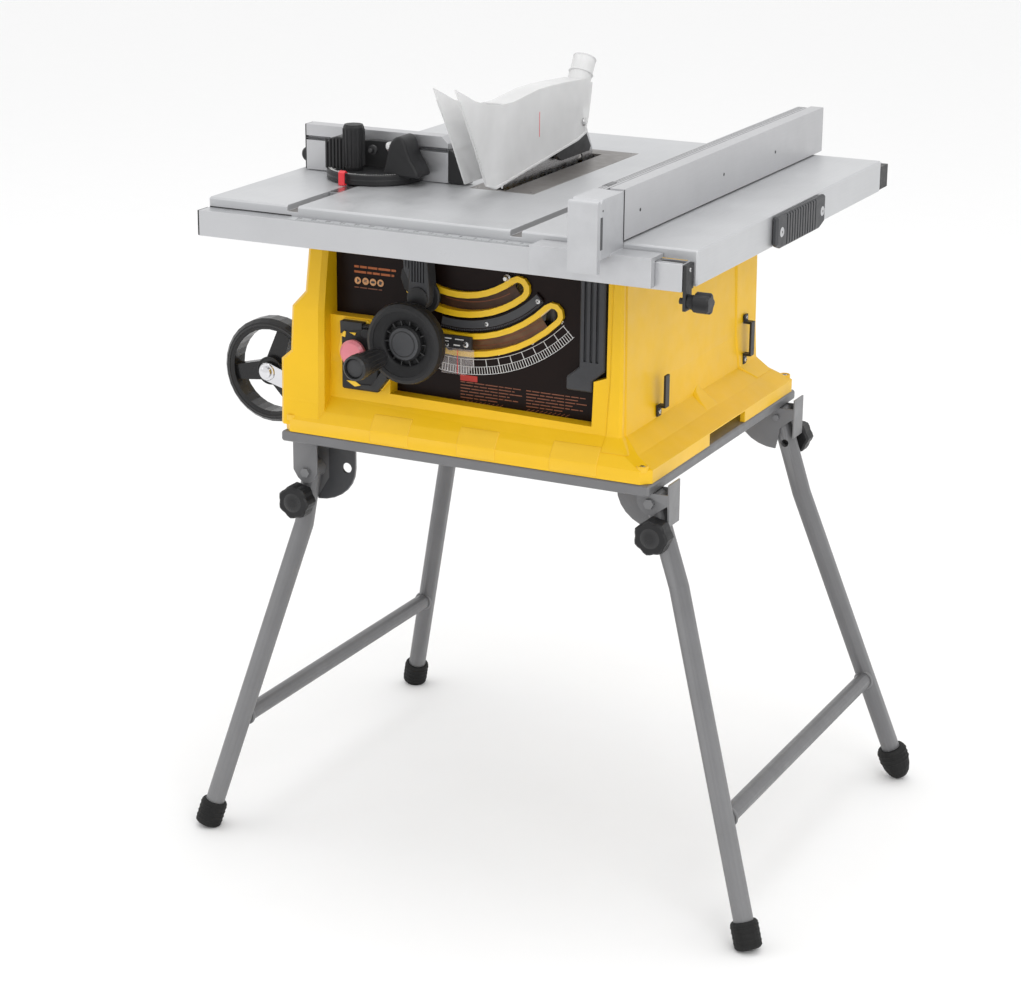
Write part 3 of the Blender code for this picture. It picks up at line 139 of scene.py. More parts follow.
def surface(name, colour, rough, metal=0.0, spread=0.06, blotch=14.0, rough_spread=0.06, grain=1400.0,
            bump=0.12, stretch=(1, 1, 1), wave=0.0, worn=0.0, coat=0.0, sheen=0.0, depth=0.0004,
            shine=0.5):
    """A solid finish: slow colour drift, uneven gloss, a fine grain and lighter worn edges."""
    made, tree, shader = principled(name)
    plain = scaled_coords(tree, (1, 1, 1))
    grained = scaled_coords(tree, stretch)
    drift = noise(tree, plain, blotch, 4.0)
    tint = mix_colours(tree, remap(tree, drift, 0.0, 1.0), shaded(colour, 1 - spread),
                       shaded(colour, 1 + spread))
    if worn:
        pale = tuple(part + (1 - part) * 0.45 for part in colour[:3]) + (1.0,)
        tint = mix_colours(tree, edge_light(tree, worn), tint, pale)
    tree.links.new(tint, shader.inputs["Base Color"])
    fine = noise(tree, grained, grain, 2.0, 0.6)
    patch = noise(tree, plain, blotch * 3.1, 3.0)
    gloss = remap(tree, patch, rough - rough_spread, rough + rough_spread)
    if metal > 0.5:
        streak = remap(tree, fine, -rough_spread, rough_spread)
        total = tree.nodes.new("ShaderNodeMath")
        total.operation = "ADD"
        tree.links.new(gloss, total.inputs[0])
        tree.links.new(streak, total.inputs[1])
        gloss = total.outputs["Value"]
    tree.links.new(gloss, shader.inputs["Roughness"])
    shader.inputs["Metallic"].default_value = metal
    shader.inputs["Coat Weight"].default_value = coat
    shader.inputs["Specular IOR Level"].default_value = shine
    shader.inputs["Coat Roughness"].default_value = 0.12
    shader.inputs["Sheen Weight"].default_value = sheen
    relief = tree.nodes.new("ShaderNodeBump")
    relief.inputs["Strength"].default_value = bump
    relief.inputs["Distance"].default_value = depth
    tree.links.new(fine, relief.inputs["Height"])
    last = relief
    if wave:
        soft = noise(tree, plain, 9.0, 2.0)
        slow = tree.nodes.new("ShaderNodeBump")
        slow.inputs["Strength"].default_value = wave
        slow.inputs["Distance"].default_value = 0.002
        tree.links.new(soft, slow.inputs["Height"])
        tree.links.new(relief.outputs["Normal"], slow.inputs["Normal"])
        last = slow
    tree.links.new(last.outputs["Normal"], shader.inputs["Normal"])
    return made


def milky_plastic(name, colour, alpha, rough):
    made, tree, shader = principled(name)
    plain = scaled_coords(tree, (1, 1, 1))
    drift = noise(tree, plain, 11.0, 3.0, 0.5)
    tint = mix_colours(tree, remap(tree, drift, 0.0, 1.0), shaded(colour, 0.95), shaded(colour, 1.03))
    tree.links.new(tint, shader.inputs["Base Color"])
    scratches = noise(tree, scaled_coords(tree, (1, 0.25, 1)), 90.0, 4.0, 0.6)
    tree.links.new(remap(tree, scratches, rough - 0.03, rough + 0.04), shader.inputs["Roughness"])
    tree.links.new(remap(tree, drift, alpha - 0.05, alpha + 0.05), shader.inputs["Alpha"])
    shader.inputs["IOR"].default_value = 1.45
    shader.inputs["Specular IOR Level"].default_value = 0.5
    relief = tree.nodes.new("ShaderNodeBump")
    relief.inputs["Strength"].default_value = 0.02
    relief.inputs["Distance"].default_value = 0.0001
    tree.links.new(scratches, relief.inputs["Height"])
    tree.links.new(relief.outputs["Normal"], shader.inputs["Normal"])
    return made


def ink(name, colour, spread=0.1, blotch=160):
    return surface(name, colour, 0.5, 0, spread, blotch, 0.05, 2500, 0.1)


YELLOW = surface("moulded_yellow", (0.8, 0.475, 0.004), 0.42, spread=0.035, grain=2100, bump=0.1,
    wave=0.1, worn=0.06, coat=0.04, shine=0.35)
YELLOW_TRIM = surface("yellow_trim", (0.84, 0.52, 0.006), 0.36, spread=0.03, grain=2300, bump=0.07,
    worn=0.06)
TABLE_ALU = surface("ground_aluminium", (0.52, 0.527, 0.54), 0.44, 0.6, 0.04, 7, 0.05, 900, 0.1,
    stretch=(1, 0.02, 1), worn=0.25)
RAIL_ALU = surface("extruded_aluminium", (0.5, 0.505, 0.52), 0.35, 0.85, 0.035, 9, 0.05, 1300, 0.12,
    stretch=(0.02, 1, 1), worn=0.2)
FENCE_ALU = surface("fence_aluminium", (0.45, 0.452, 0.466), 0.4, 0.7, 0.035, 9, 0.05, 1300, 0.1,
    stretch=(1, 0.02, 1), worn=0.2)
CAST_ALU = surface("cast_aluminium", (0.5, 0.505, 0.52), 0.46, 0.7, 0.05, 30, 0.06, 1500, 0.22, worn=0.2)
STAND = surface("powder_coat_grey", (0.155, 0.155, 0.16), 0.44, 0.3, 0.05, 22, 0.06, 1900, 0.16,
    worn=0.12, coat=0.08)
BLACK = surface("moulded_black", (0.012, 0.012, 0.013), 0.44, 0, 0.12, 30, 0.07, 2100, 0.16, worn=0.04,
    shine=0.3)
GLOSS_BLACK = surface("gloss_black", (0.009, 0.009, 0.01), 0.3, 0, 0.1, 26, 0.06, 1500, 0.08, worn=0.03,
    coat=0.1, shine=0.35)
GRIP_BLACK = surface("soft_black", (0.017, 0.017, 0.018), 0.52, 0, 0.12, 40, 0.06, 1700, 0.22, shine=0.32)
DARK_GREY_AND_SHADE = surface("dark_grey_plastic_and_shade", (0.036, 0.037, 0.041), 0.46, 0, 0.08, 30, 0.06, 2000, 0.18,
    worn=0.06, shine=0.35)
RUBBER = surface("rubber", (0.012, 0.012, 0.012), 0.66, 0, 0.16, 60, 0.07, 900, 0.3, shine=0.25)
PANEL = surface("panel_black", (0.01, 0.005, 0.0042), 0.34, 0, 0.1, 12, 0.05, 2400, 0.05, shine=0.12)
THROAT = surface("throat_plate_paint", (0.14, 0.128, 0.12), 0.42, 0.35, 0.07, 18, 0.06, 1600, 0.18,
    worn=0.15)
STEEL = surface("ground_steel", (0.56, 0.56, 0.57), 0.28, 1.0, 0.05, 30, 0.06, 1500, 0.12,
    stretch=(1, 0.04, 1))
CHROME = surface("bright_plate", (0.7, 0.7, 0.72), 0.16, 1.0, 0.04, 25, 0.04, 700, 0.05)
SCREW = surface("zinc_screw", (0.6, 0.6, 0.6), 0.27, 1.0, 0.08, 200, 0.07, 2500, 0.14)
CASTING = surface("grey_casting", (0.16, 0.16, 0.165), 0.58, 0.6, 0.1, 40, 0.06, 1100, 0.35)
SLOT_SHADE = surface("slot_shade", (0.06, 0.026, 0.012), 0.5, 0, 0.35, 45, 0.06, 900, 0.2)
SLOT_TAN_SHADE = surface("slot_tan_shade", (0.165, 0.085, 0.036), 0.48, 0, 0.3, 45, 0.06, 900, 0.2)
RACK_GREY = surface("rack_grey", (0.06, 0.06, 0.066), 0.48, 0, 0.1, 60, 0.06, 1800, 0.2)
PINK = surface("stop_red", (0.62, 0.11, 0.15), 0.36, 0, 0.06, 40, 0.05, 1500, 0.08, worn=0.2, coat=0.2)
RED = surface("pointer_red", (0.72, 0.028, 0.04), 0.33, 0, 0.06, 60, 0.05, 1500, 0.08, coat=0.3)
WHITE_INK = ink("white_ink", (0.8, 0.8, 0.79), spread=0.06)
ORANGE_INK = ink("orange_ink", (0.4, 0.1, 0.018))
DULL_INK_AND_GLINT = ink("dull_orange_ink_and_glint", (0.2, 0.062, 0.026))
PALE_INK = ink("pale_orange_ink", (0.66, 0.33, 0.14))
RED_INK = ink("red_ink", (0.42, 0.02, 0.012), blotch=90)
BLACK_INK_AND_SHADE = ink("black_ink_and_shade", (0.03, 0.03, 0.032), blotch=90)
PALE_STRIP = surface("scale_tape", (0.5, 0.51, 0.52), 0.36, 0.45, 0.04, 30, 0.05, 2500, 0.06)
TICK_GREY = ink("scale_grey", (0.16, 0.16, 0.17), blotch=90)
LINER = surface("inner_shade", (0.01, 0.009, 0.008), 0.8, 0, 0.2, 20, 0.05, 900, 0.2, shine=0.1)
MILKY = milky_plastic("milky_guard", (0.78, 0.78, 0.78), 0.68, 0.34)
CLEAR = milky_plastic("clear_window", (0.8, 0.74, 0.74), 0.14, 0.14)


# ---- mesh helpers -------------------------------------------------------------------
def finish_piece(obj, material, body, slot=None, smooth=32, bevel=0.0, segments=2):
    """Puts a piece in the frame, gives it its finish and its body."""
    obj.data.transform(Matrix.Translation(CENTRE))
    obj.data.materials.clear()
    obj.data.materials.append(material)
    if bevel:
        edges = obj.modifiers.new("edges", "BEVEL")
        edges.width = bevel
        edges.segments = segments
        edges.limit_method = "ANGLE"
        edges.angle_limit = radians(28)
    if smooth:
        obj.data.shade_smooth()
        obj.data.set_sharp_from_angle(angle=radians(smooth))
    if bevel:
        normals = obj.modifiers.new("normals", "WEIGHTED_NORMAL")
        normals.keep_sharp = False
        normals.weight = 80
    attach(obj, body)
    return obj


def to_object(name, bm):
    bmesh.ops.remove_doubles(bm, verts=bm.verts, dist=1e-6)
    bmesh.ops.recalc_face_normals(bm, faces=bm.faces)
    mesh = bpy.data.meshes.new(name)
    bm.to_mesh(mesh)
    bm.free()
    obj = bpy.data.objects.new(name, mesh)
    bpy.context.scene.collection.objects.link(obj)
    return obj


def on_axis(axis, along, u, v):
    if axis == "X":
        return (along, u, v)
    if axis == "Y":
        return (u, along, v)
    return (u, v, along)


def add_prism(bm, profile, axis, low, high):
    near = [bm.verts.new(on_axis(axis, low, u, v)) for u, v in profile]
    far = [bm.verts.new(on_axis(axis, high, u, v)) for u, v in profile]
    bm.faces.new(near)
    bm.faces.new(far[::-1])
    for i in range(len(profile)):
        j = (i + 1) % len(profile)
        bm.faces.new((near[i], near[j], far[j], far[i]))


def add_box(bm, spots):
    """Six faces on eight corners: four on one side, then the four across from them."""
    verts = [bm.verts.new(spot) for spot in spots]
    for face in BOX_FACES:
        bm.faces.new([verts[k] for k in face])


def prism(name, profile, axis, low, high):
    bm = bmesh.new()
    add_prism(bm, profile, axis, low, high)
    return to_object(name, bm)


def box_profile(x, y):
    return [(x[0], y[0]), (x[1], y[0]), (x[1], y[1]), (x[0], y[1])]


def add_lathe(bm, profile, base, direction, count=32):
    line = Vector(direction).normalized()
    side = line.orthogonal().normalized()
    other = line.cross(side)
    base = Vector(base)
    rings = []
    for radius, along in profile:
        middle = base + line * along
        if radius < 1e-6:
            rings.append([bm.verts.new(middle)])
            continue
        turns = [2 * pi * i / count for i in range(count)]
        rings.append([bm.verts.new(middle + (side * cos(turn) + other * sin(turn)) * radius)
                      for turn in turns])
    closed = profile[0][0] > 1e-6 or profile[-1][0] > 1e-6
    for k in range(len(rings) if closed else len(rings) - 1):
        one, two = rings[k], rings[(k + 1) % len(rings)]
        for i in range(count):
            j = (i + 1) % count
            if len(one) == 1:
                bm.faces.new((one[0], two[i], two[j]))
            elif len(two) == 1:
                bm.faces.new((one[i], one[j], two[0]))
            else:
                bm.faces.new((one[i], one[j], two[j], two[i]))


def lathe(name, profile, base, direction, count=32):
    bm = bmesh.new()
    add_lathe(bm, profile, base, direction, count)
    return to_object(name, bm)


def torus_profile(radius, tube, steps=10):
    return [(radius + tube * cos(2 * pi * i / steps), tube * sin(2 * pi * i / steps)) for i in range(steps)]


def plate(name, profile, axis, low, high, *finish, **looks):
    """An outline pushed along an axis, finished as a piece."""
    return finish_piece(prism(name, profile, axis, low, high), *finish, **looks)


def plates(name, profiles, axis, low, high, *finish, **looks):
    """Several outlines pushed along one axis, as one piece."""
    bm = bmesh.new()
    for profile in profiles:
        add_prism(bm, profile, axis, low, high)
    return finish_piece(to_object(name, bm), *finish, **looks)


def turned(name, profile, base, direction, count, *finish, **looks):
    """A profile turned about a line, finished as a piece."""
    return finish_piece(lathe(name, profile, base, direction, count), *finish, **looks)


def spoke(angle, middle, inner, outer, half_in, half_out):
    """The outline of one radial rib."""
    away = Vector((cos(angle), sin(angle)))
    across = Vector((-sin(angle), cos(angle)))
    corners = (away * inner - across * half_in, away * outer - across * half_out,
               away * outer + across * half_out, away * inner + across * half_in)
    return [(middle[0] + corner.x, middle[1] + corner.y) for corner in corners]


def half_disc(middle, radius, steps):
    """The half of a circle that faces the front."""
    turns = [pi + pi * i / steps for i in range(steps + 1)]
    return [(middle[0] + radius * cos(turn), middle[1] + radius * sin(turn)) for turn in turns]


def at_tilt(radius, degrees):
    return (TILT[0] + radius * sin(radians(degrees)), TILT[1] - radius * cos(radians(degrees)))


def arc_band(inner, outer, first, last, steps=24):
    low = [at_tilt(inner, first + (last - first) * i / steps) for i in range(steps + 1)]
    high = [at_tilt(outer, last - (last - first) * i / steps) for i in range(steps + 1)]
    return low + high


def loft(name, sections, corner):
    bm = bmesh.new()
    rings = []
    for z, x0, x1, y0, y1 in sections:
        outline = [(x0 + corner, y0), (x1 - corner, y0), (x1, y0 + corner), (x1, y1 - corner),
                   (x1 - corner, y1), (x0 + corner, y1), (x0, y1 - corner), (x0, y0 + corner)]
        rings.append([bm.verts.new((x, y, z)) for x, y in outline])
    bm.faces.new(rings[0][::-1])
    bm.faces.new(rings[-1])
    for one, two in zip(rings, rings[1:]):
        for i in range(8):
            j = (i + 1) % 8
            bm.faces.new((one[i], one[j], two[j], two[i]))
    return to_object(name, bm)


def screw(name, at, direction, radius, body, material=None, high=None):
    """A domed cross-head screw; its recess is a cross let into the crown, coloured dark as painted shade."""
    high = high or radius * 0.5
    line = Vector(direction).normalized()
    head = lathe(name, [(0, -radius * 0.4), (radius * 0.96, -radius * 0.4), (radius, 0),
                        (radius * 0.93, high * 0.55),
                        (radius * 0.62, high * 0.93), (radius * 0.3, high), (0, high)], at, line, 20)
    side = line.orthogonal().normalized()
    other = line.cross(side)
    bm = bmesh.new()
    for one, two in ((side, other), (other, side)):
        middle = Vector(at) + line * (high * 0.99)
        long, wide, tall = radius * 0.58, radius * 0.11, radius * 0.05
        spots = [middle + one * (a * long) + two * (b * wide) + line * (c * tall)
                 for c in (-1, 1) for a, b in ((-1, -1), (1, -1), (1, 1), (-1, 1))]
        add_box(bm, spots)
    cross = to_object(name + "_recess", bm)
    finish_piece(head, material or SCREW, body)
    # The recess is coloured near black: painted shade inside the cross.
    finish_piece(cross, BLACK_INK_AND_SHADE, body, smooth=0)


def strips(name, quads, axis_y, material, body, thick=0.00025):
    """Printed marks on the panel: small flat outlines standing just proud of it."""
    return plates(name, quads, "Y", axis_y - thick, axis_y + 0.0002, material, body, smooth=0)


def number(name, words, size, at, facing, material, body, turn=0.0, deep=0.00012):
    """A printed number, turned into a mesh."""
    curve = bpy.data.curves.new(name, "FONT")
    curve.body = words
    curve.size = size
    curve.align_x = "CENTER"
    curve.align_y = "CENTER"
    curve.extrude = deep
    curve.resolution_u = 3
    text = bpy.data.objects.new(name, curve)
    bpy.context.scene.collection.objects.link(text)
    mesh = bpy.data.meshes.new_from_object(text.evaluated_get(bpy.context.evaluated_depsgraph_get()))
    bpy.data.objects.remove(text, do_unlink=True)
    obj = bpy.data.objects.new(name, mesh)
    bpy.context.scene.collection.objects.link(obj)
    mesh.transform(Matrix.Translation(Vector(at)) @ facing @ Matrix.Rotation(turn, 4, "Z"))
    return finish_piece(obj, material, body, smooth=0)


# ---- CAD nodes that stay: finish and rounded edges ----------------------------------
def dress(names, material, bevel=0.0, segments=2, smooth=32):
    for name in names.split():
        node = NODES[name]
        node.data.materials.clear()
        node.data.materials.append(material)
        if bevel:
            weld = node.modifiers.new("weld", "WELD")
            weld.merge_threshold = 0.00001
            edges = node.modifiers.new("edges", "BEVEL")
            edges.width = bevel
            edges.segments = segments
            edges.limit_method = "ANGLE"
            edges.angle_limit = radians(smooth)
            edges.harden_normals = True


def dress_all():
    dress("housing", YELLOW, 0.0022, 3, 14)
    dress("slot_frame", YELLOW_TRIM, 0.0009, 2)
    dress("stand_frame", STAND, 0.002, 3)
    dress("bracket_front_left bracket_rear_left bracket_front_right bracket_rear_right", STAND, 0.0005, 2)
    dress("left_leg_frame right_leg_frame", STAND)
    dress("foot_front_left foot_rear_left foot_front_right levelling_foot", RUBBER)
    dress("leg_knob_front_left leg_knob_rear_left leg_knob_front_right leg_knob_rear_right", BLACK, 0.0012, 3)
    dress("wheel_front wheel_rear", GLOSS_BLACK, 0.0008, 2)
    dress("wheel_bracket wheel_axle", CHROME, 0.0006, 2)
    dress("front_panel", PANEL)
    dress("switch_box", BLACK, 0.0008, 2)
    dress("storage_hook_front storage_hook_rear", BLACK, 0.0008, 2)
    dress("cord_gland", RUBBER)
    dress("table_top", TABLE_ALU, 0.0009, 3)
    dress("extension_table", TABLE_ALU, 0.0007, 2)
    dress("throat_plate", THROAT, 0.0006, 2)
    dress("front_rail rear_rail", RAIL_ALU, 0.0009, 3)
    dress("slide_bar_front slide_bar_rear", BLACK, 0.0006, 2)
    dress("carry_grip", DARK_GREY_AND_SHADE, 0.0006, 2)
    dress("extension_knob", BLACK, 0.0006, 2)
    dress("fence_body", FENCE_ALU, 0.0007, 2)
    dress("fence_head", CAST_ALU, 0.0022, 3)
    dress("fence_lever", CAST_ALU, 0.0014, 3)
    dress("miter_bar", STEEL, 0.0004, 2)
    dress("miter_head", BLACK, 0.0012, 3)
    dress("miter_fence", FENCE_ALU, 0.0006, 2)
    dress("miter_fence_cap", BLACK, 0.001, 3)
    dress("miter_knob", GRIP_BLACK)
    dress("tilt_carriage trunnion_rear lift_slide", CASTING, 0.0006, 2)
    dress("motor", BLACK, 0.0008, 2)
    dress("blade", STEEL)
    dress("arbor", STEEL)
    dress("splitter", STEEL, 0.0003, 1)
    dress("guard_mount", BLACK, 0.0008, 2)
    dress("blade_guard", MILKY, 0.0005, 2)
    dress("bevel_pointer", BLACK, 0.0006, 2)
    dress("handwheel", GRIP_BLACK)
    dress("crank_knob", BLACK)
    dress("bevel_lever", DARK_GREY_AND_SHADE, 0.0005, 2)
    dress("push_stick", DARK_GREY_AND_SHADE, 0.0006, 2)
    dress("stop_button", PINK)
    dress("start_button", BLACK, 0.0003, 1)


# ---- housing details ----------------------------------------------------------------
def housing_details():
    outline = [(-0.25, 0.561), (-0.25, 0.5762), (-0.241, 0.5894), (-0.2348, 0.5955), (-0.233, 0.593),
               (-0.2465, 0.574), (-0.2465, 0.561)]
    for i, (low, high) in enumerate(((-0.127, -0.072), (-0.004, 0.05), (0.124, 0.188))):
        plate(f"housing_pad_{i}", outline, "X", low, high, YELLOW, "base", "housing", bevel=0.0016,
            segments=3)
    finish_piece(loft("housing_rear_pillar", [(0.5905, 0.15, 0.2325, 0.168, 0.224),
        (0.6075, 0.15, 0.2118, 0.15, 0.2198), (0.654, 0.15, 0.2096, 0.142, 0.2185),
        (0.74, 0.15, 0.209, 0.138, 0.2175), (0.8515, 0.15, 0.207, 0.136, 0.2165)], 0.004), YELLOW,
        "base", "housing", bevel=0.0012, segments=3)
    finish_piece(loft("housing_gusset", [(0.59, 0.195, 0.232, -0.01, 0.034),
        (0.6, 0.195, 0.221, -0.006, 0.03), (0.61, 0.195, 0.212, 0.0, 0.024),
        (0.619, 0.195, 0.2088, 0.008, 0.018)], 0.0035), YELLOW, "base", "housing", bevel=0.0012,
        segments=3)
    finish_piece(loft("housing_right_pillar", [(0.59, 0.186, 0.2245, -0.2405, -0.215),
        (0.6065, 0.186, 0.2085, -0.2248, -0.212), (0.67, 0.19, 0.2083, -0.2236, -0.212),
        (0.8515, 0.192, 0.2054, -0.2208, -0.212)], 0.003), YELLOW, "base", "housing", bevel=0.0012,
        segments=3)
    liner = loft("housing_liner", [
        (0.612, -0.254, 0.201, -0.1985, 0.212), (0.653, -0.254, 0.2005, -0.1985, 0.2105),
        (0.665, -0.24, 0.2, -0.1985, 0.21), (0.723, -0.238, 0.1995, -0.1985, 0.2095),
        (0.743, -0.2195, 0.1985, -0.1985, 0.209), (0.852, -0.2195, 0.1975, -0.1985, 0.208)], 0.004)
    bm = bmesh.new()
    bm.from_mesh(liner.data)
    open_faces = [face for face in bm.faces if abs(face.normal.z) > 0.99 or face.normal.y < -0.9]
    bmesh.ops.delete(bm, geom=open_faces, context="FACES")
    bm.to_mesh(liner.data)
    bm.free()
    finish_piece(liner, LINER, "base", smooth=0)
    for name, at in (("corner_screw_front_right", (0.244, -0.24, 0.58)),
                     ("corner_screw_rear_right", (0.2445, 0.2395, 0.58)),
                     ("corner_screw_front_left", (-0.244, -0.2418, 0.58)),
                     ("corner_screw_rear_left", (-0.244, 0.2418, 0.58))):
        spot = Vector(at)
        turned(name + "_boss", [(0, -0.006), (0.0078, -0.006), (0.0078, 0.0006), (0.0068, 0.0014),
            (0.0056, 0.0006), (0.0052, -0.0016), (0, -0.0016)], spot, UP, 28, YELLOW, "base", "housing")
        screw(name, spot + Vector((0, 0, -0.0012)), UP, 0.0044, "base")


# ---- panel prints, scale, rack ------------------------------------------------------
def text_rows(left, right, top, rows, pitch, high, ragged, slope=0.0):
    """Blank bars that stand for lines of print."""
    quads = []
    for row in range(rows):
        z = top - pitch * row
        x = left
        k = 0
        end = right - ragged[row % len(ragged)] * (right - left)
        while x < end - 0.003:
            wide = min(0.0065 + 0.0035 * ((row * 3 + k * 5) % 4), end - x)
            quads.append([(x, z), (x + wide, z + slope * wide), (x + wide, z + slope * wide + high),
                          (x, z + high)])
            x += wide + 0.0016
            k += 1
    return quads


def panel_prints():
    face = PRINT_Y
    strips("print_title", text_rows(-0.1728, -0.1105, 0.7728, 2, 0.0066, 0.0028, (0.0, 0.08)), face,
        ORANGE_INK, "base")
    icons = []
    places = (-0.168, -0.1568, -0.146, -0.1352)
    for x in places:
        icons.append([(x + 0.0046 * cos(2 * pi * i / 18), 0.7562 + 0.0046 * sin(2 * pi * i / 18))
                      for i in range(18)])
    strips("print_icons", icons, face, PALE_INK, "base")
    marks = []
    for n, x in enumerate(places):
        if n == 0:
            marks.append([(x - 0.0006, 0.7534), (x + 0.003, 0.7562), (x - 0.0006, 0.759)])
        elif n == 1:
            marks.append(box_profile((x - 0.0024, x + 0.0024), (0.7552, 0.7562)))
            marks.append(box_profile((x - 0.002, x + 0.002), (0.7571, 0.7581)))
        elif n == 2:
            marks.append([(x + 0.003 * cos(2 * pi * i / 12), 0.7562 + 0.0016 * sin(2 * pi * i / 12))
                          for i in range(12)])
        else:
            marks.append([(x - 0.0026, 0.7545), (x + 0.001, 0.7538), (x + 0.0026, 0.7578),
                          (x - 0.0012, 0.7588)])
    strips("print_icon_marks", marks, face - 0.0003, BLACK_INK_AND_SHADE, "base")
    strips("print_small_row", text_rows(-0.1728, -0.133, 0.7468, 1, 0.005, 0.0013, (0.0,)), face, DULL_INK_AND_GLINT,
        "base")
    strips("print_red_block", [box_profile((-0.0219, 0.002), (0.6448, 0.6524))], face, RED_INK, "base")
    for k, (low, high) in enumerate(((-0.0215, 0.064), (0.07, 0.1525))):
        quads = text_rows(low, high, 0.6425, 6, 0.004, 0.0012, (0.02, 0.12, 0.0, 0.2, 0.06, 0.4))
        strips(f"print_lines_{k}", quads, face, DULL_INK_AND_GLINT, "base")
        ticks = [[(low + 0.006 * i, 0.6165), (low + 0.006 * i + 0.0052, 0.6195),
                  (low + 0.006 * i + 0.0052, 0.6203), (low + 0.006 * i, 0.6173)] for i in range(10)]
        strips(f"print_hatch_{k}", ticks, face, DULL_INK_AND_GLINT, "base")


def bevel_scale():
    face = PRINT_Y
    quads = []
    steps = 40
    for radius in SCALE_RADII:
        for i in range(steps):
            one = SCALE_FIRST + 55.5 * i / steps
            two = SCALE_FIRST + 55.5 * (i + 1) / steps
            quads.append([at_tilt(radius, one), at_tilt(radius, two), at_tilt(radius + 0.0005, two),
                          at_tilt(radius + 0.0005, one)])
    for degree in range(SCALE_FIRST, SCALE_LAST + 1):
        inner = SCALE_RADII[1] if degree % 5 else SCALE_RADII[0]
        wide = 0.075 if degree % 5 else 0.1
        quads.append([at_tilt(inner, degree - wide), at_tilt(0.2172, degree - wide),
                      at_tilt(0.2172, degree + wide), at_tilt(inner, degree + wide)])
    strips("bevel_scale_lines", quads, face, WHITE_INK, "base")
    for degree in range(0, SCALE_LAST + 1, 15):
        spot = at_tilt(0.1925, degree + 0.5)
        number(f"bevel_number_{degree}", str(degree), 0.0068, (spot[0], face - 0.0002, spot[1]),
            Matrix.Rotation(radians(90), 4, "X"), WHITE_INK, "base", turn=-radians(degree))


def rack_details():
    teeth = []
    step = 55.0 / TEETH
    for i in range(TEETH):
        one = -9.5 + 55.0 * i / TEETH
        teeth.append([at_tilt(0.1586, one), at_tilt(0.1586, one + step * 0.66),
                      at_tilt(0.1612, one + step * 0.5),
                      at_tilt(0.1612, one + step * 0.16)])
    plates("rack_teeth", teeth, "Y", PANEL_Y - 0.0034, PRINT_Y, RACK_GREY, "base", smooth=0)
    plate("rack_face", arc_band(0.1478, 0.1578, -9.4, 45.4, 40), "Y", PANEL_Y - 0.0042, PANEL_Y - 0.003,
        DARK_GREY_AND_SHADE, "base", smooth=0, bevel=0.0004)
    for k, (radius, degree, size) in enumerate(((0.1535, 14.2, 0.003), (0.1555, 43.8, 0.0033))):
        spot = at_tilt(radius, degree)
        screw(f"rack_screw_{k}", (spot[0], PANEL_Y - 0.0042, spot[1]), FRONT, size, "base")
    turned("bevel_stop_pin", [(0, 0), (0.0052, 0), (0.0052, 0.004), (0.0034, 0.0055), (0.0034, 0.009),
        (0.0026, 0.01), (0, 0.01)], (0.0441, PANEL_Y, 0.783), FRONT, 6, SCREW, "base", smooth=20)
    # The two slot backs are sheets coloured as the shaded inside seen through the slots: painted shade.
    for name, first, last, radius, half, finish in (("lower_slot_back", 1.0, 38.2, HANDWHEEL_R, 0.012,
                                                     SLOT_TAN_SHADE),
                                                    ("upper_slot_back", -14.0, 35.2, LEVER_R, 0.011,
                                                     SLOT_SHADE)):
        plate(name, arc_band(radius - half, radius + half, first, last, 30), "Y", -0.1946, -0.194, finish,
            "bevel_carriage", smooth=0)
    # Thin orange arcs along the slot edges: painted glints.
    for k, (radius, first, last) in enumerate(((0.1262, -12.0, 30.0), (0.1748, 6.0, 37.0),
                                               (0.1815, 3.0, 38.0))):
        plate(f"slot_glint_{k}", arc_band(radius, radius + 0.0011, first, last, 24), "Y", -0.195, -0.1944,
            DULL_INK_AND_GLINT, "bevel_carriage", smooth=0)


def pointer_details():
    """The small printed block over the scale, its clear window and the stem through the slot."""
    pointer = plate("pointer_block", box_profile((-0.0455, -0.0015), (0.6875, 0.704)), "Y", -0.2135,
        -0.2088, BLACK, "bevel_carriage", "bevel_pointer", bevel=0.0008, segments=3)
    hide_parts("bevel_pointer")
    stem = at_tilt(HANDWHEEL_R, POINTER_DEGREES)
    turned("pointer_stem", [(0, 0), (0.005, 0), (0.005, 0.019), (0.0075, 0.0192), (0.0082, 0.0204),
        (0.007, 0.0222), (0, 0.0226)], (stem[0], -0.1903, stem[1]), FRONT, 24, BLACK, "bevel_carriage")
    window = [(-0.0435, 0.6545), (-0.01, 0.6545), (0.002, 0.6665), (0.002, 0.6885), (-0.0435, 0.6885)]
    plate("pointer_window", window, "Y", -0.2136, -0.212, CLEAR, "bevel_carriage", bevel=0.0005)
    strips("pointer_line", [box_profile((-0.0209, -0.0202), (0.6555, 0.686))], -0.2138, RED,
        "bevel_carriage")
    strips("pointer_marks", [box_profile((-0.04, -0.029), (0.6992, 0.7006)),
        box_profile((-0.04, -0.033), (0.6955, 0.6965)),
        box_profile((-0.024, -0.012), (0.6992, 0.7002)),
        box_profile((-0.026, -0.017), (0.6915, 0.6928))], POINTER_FRONT, WHITE_INK, "bevel_carriage")
    screw("pointer_screw_left", (-0.035, POINTER_FRONT, 0.6915), FRONT, 0.0024, "bevel_carriage")
    screw("pointer_screw_right", (-0.0085, POINTER_FRONT, 0.6945), FRONT, 0.004, "bevel_carriage")


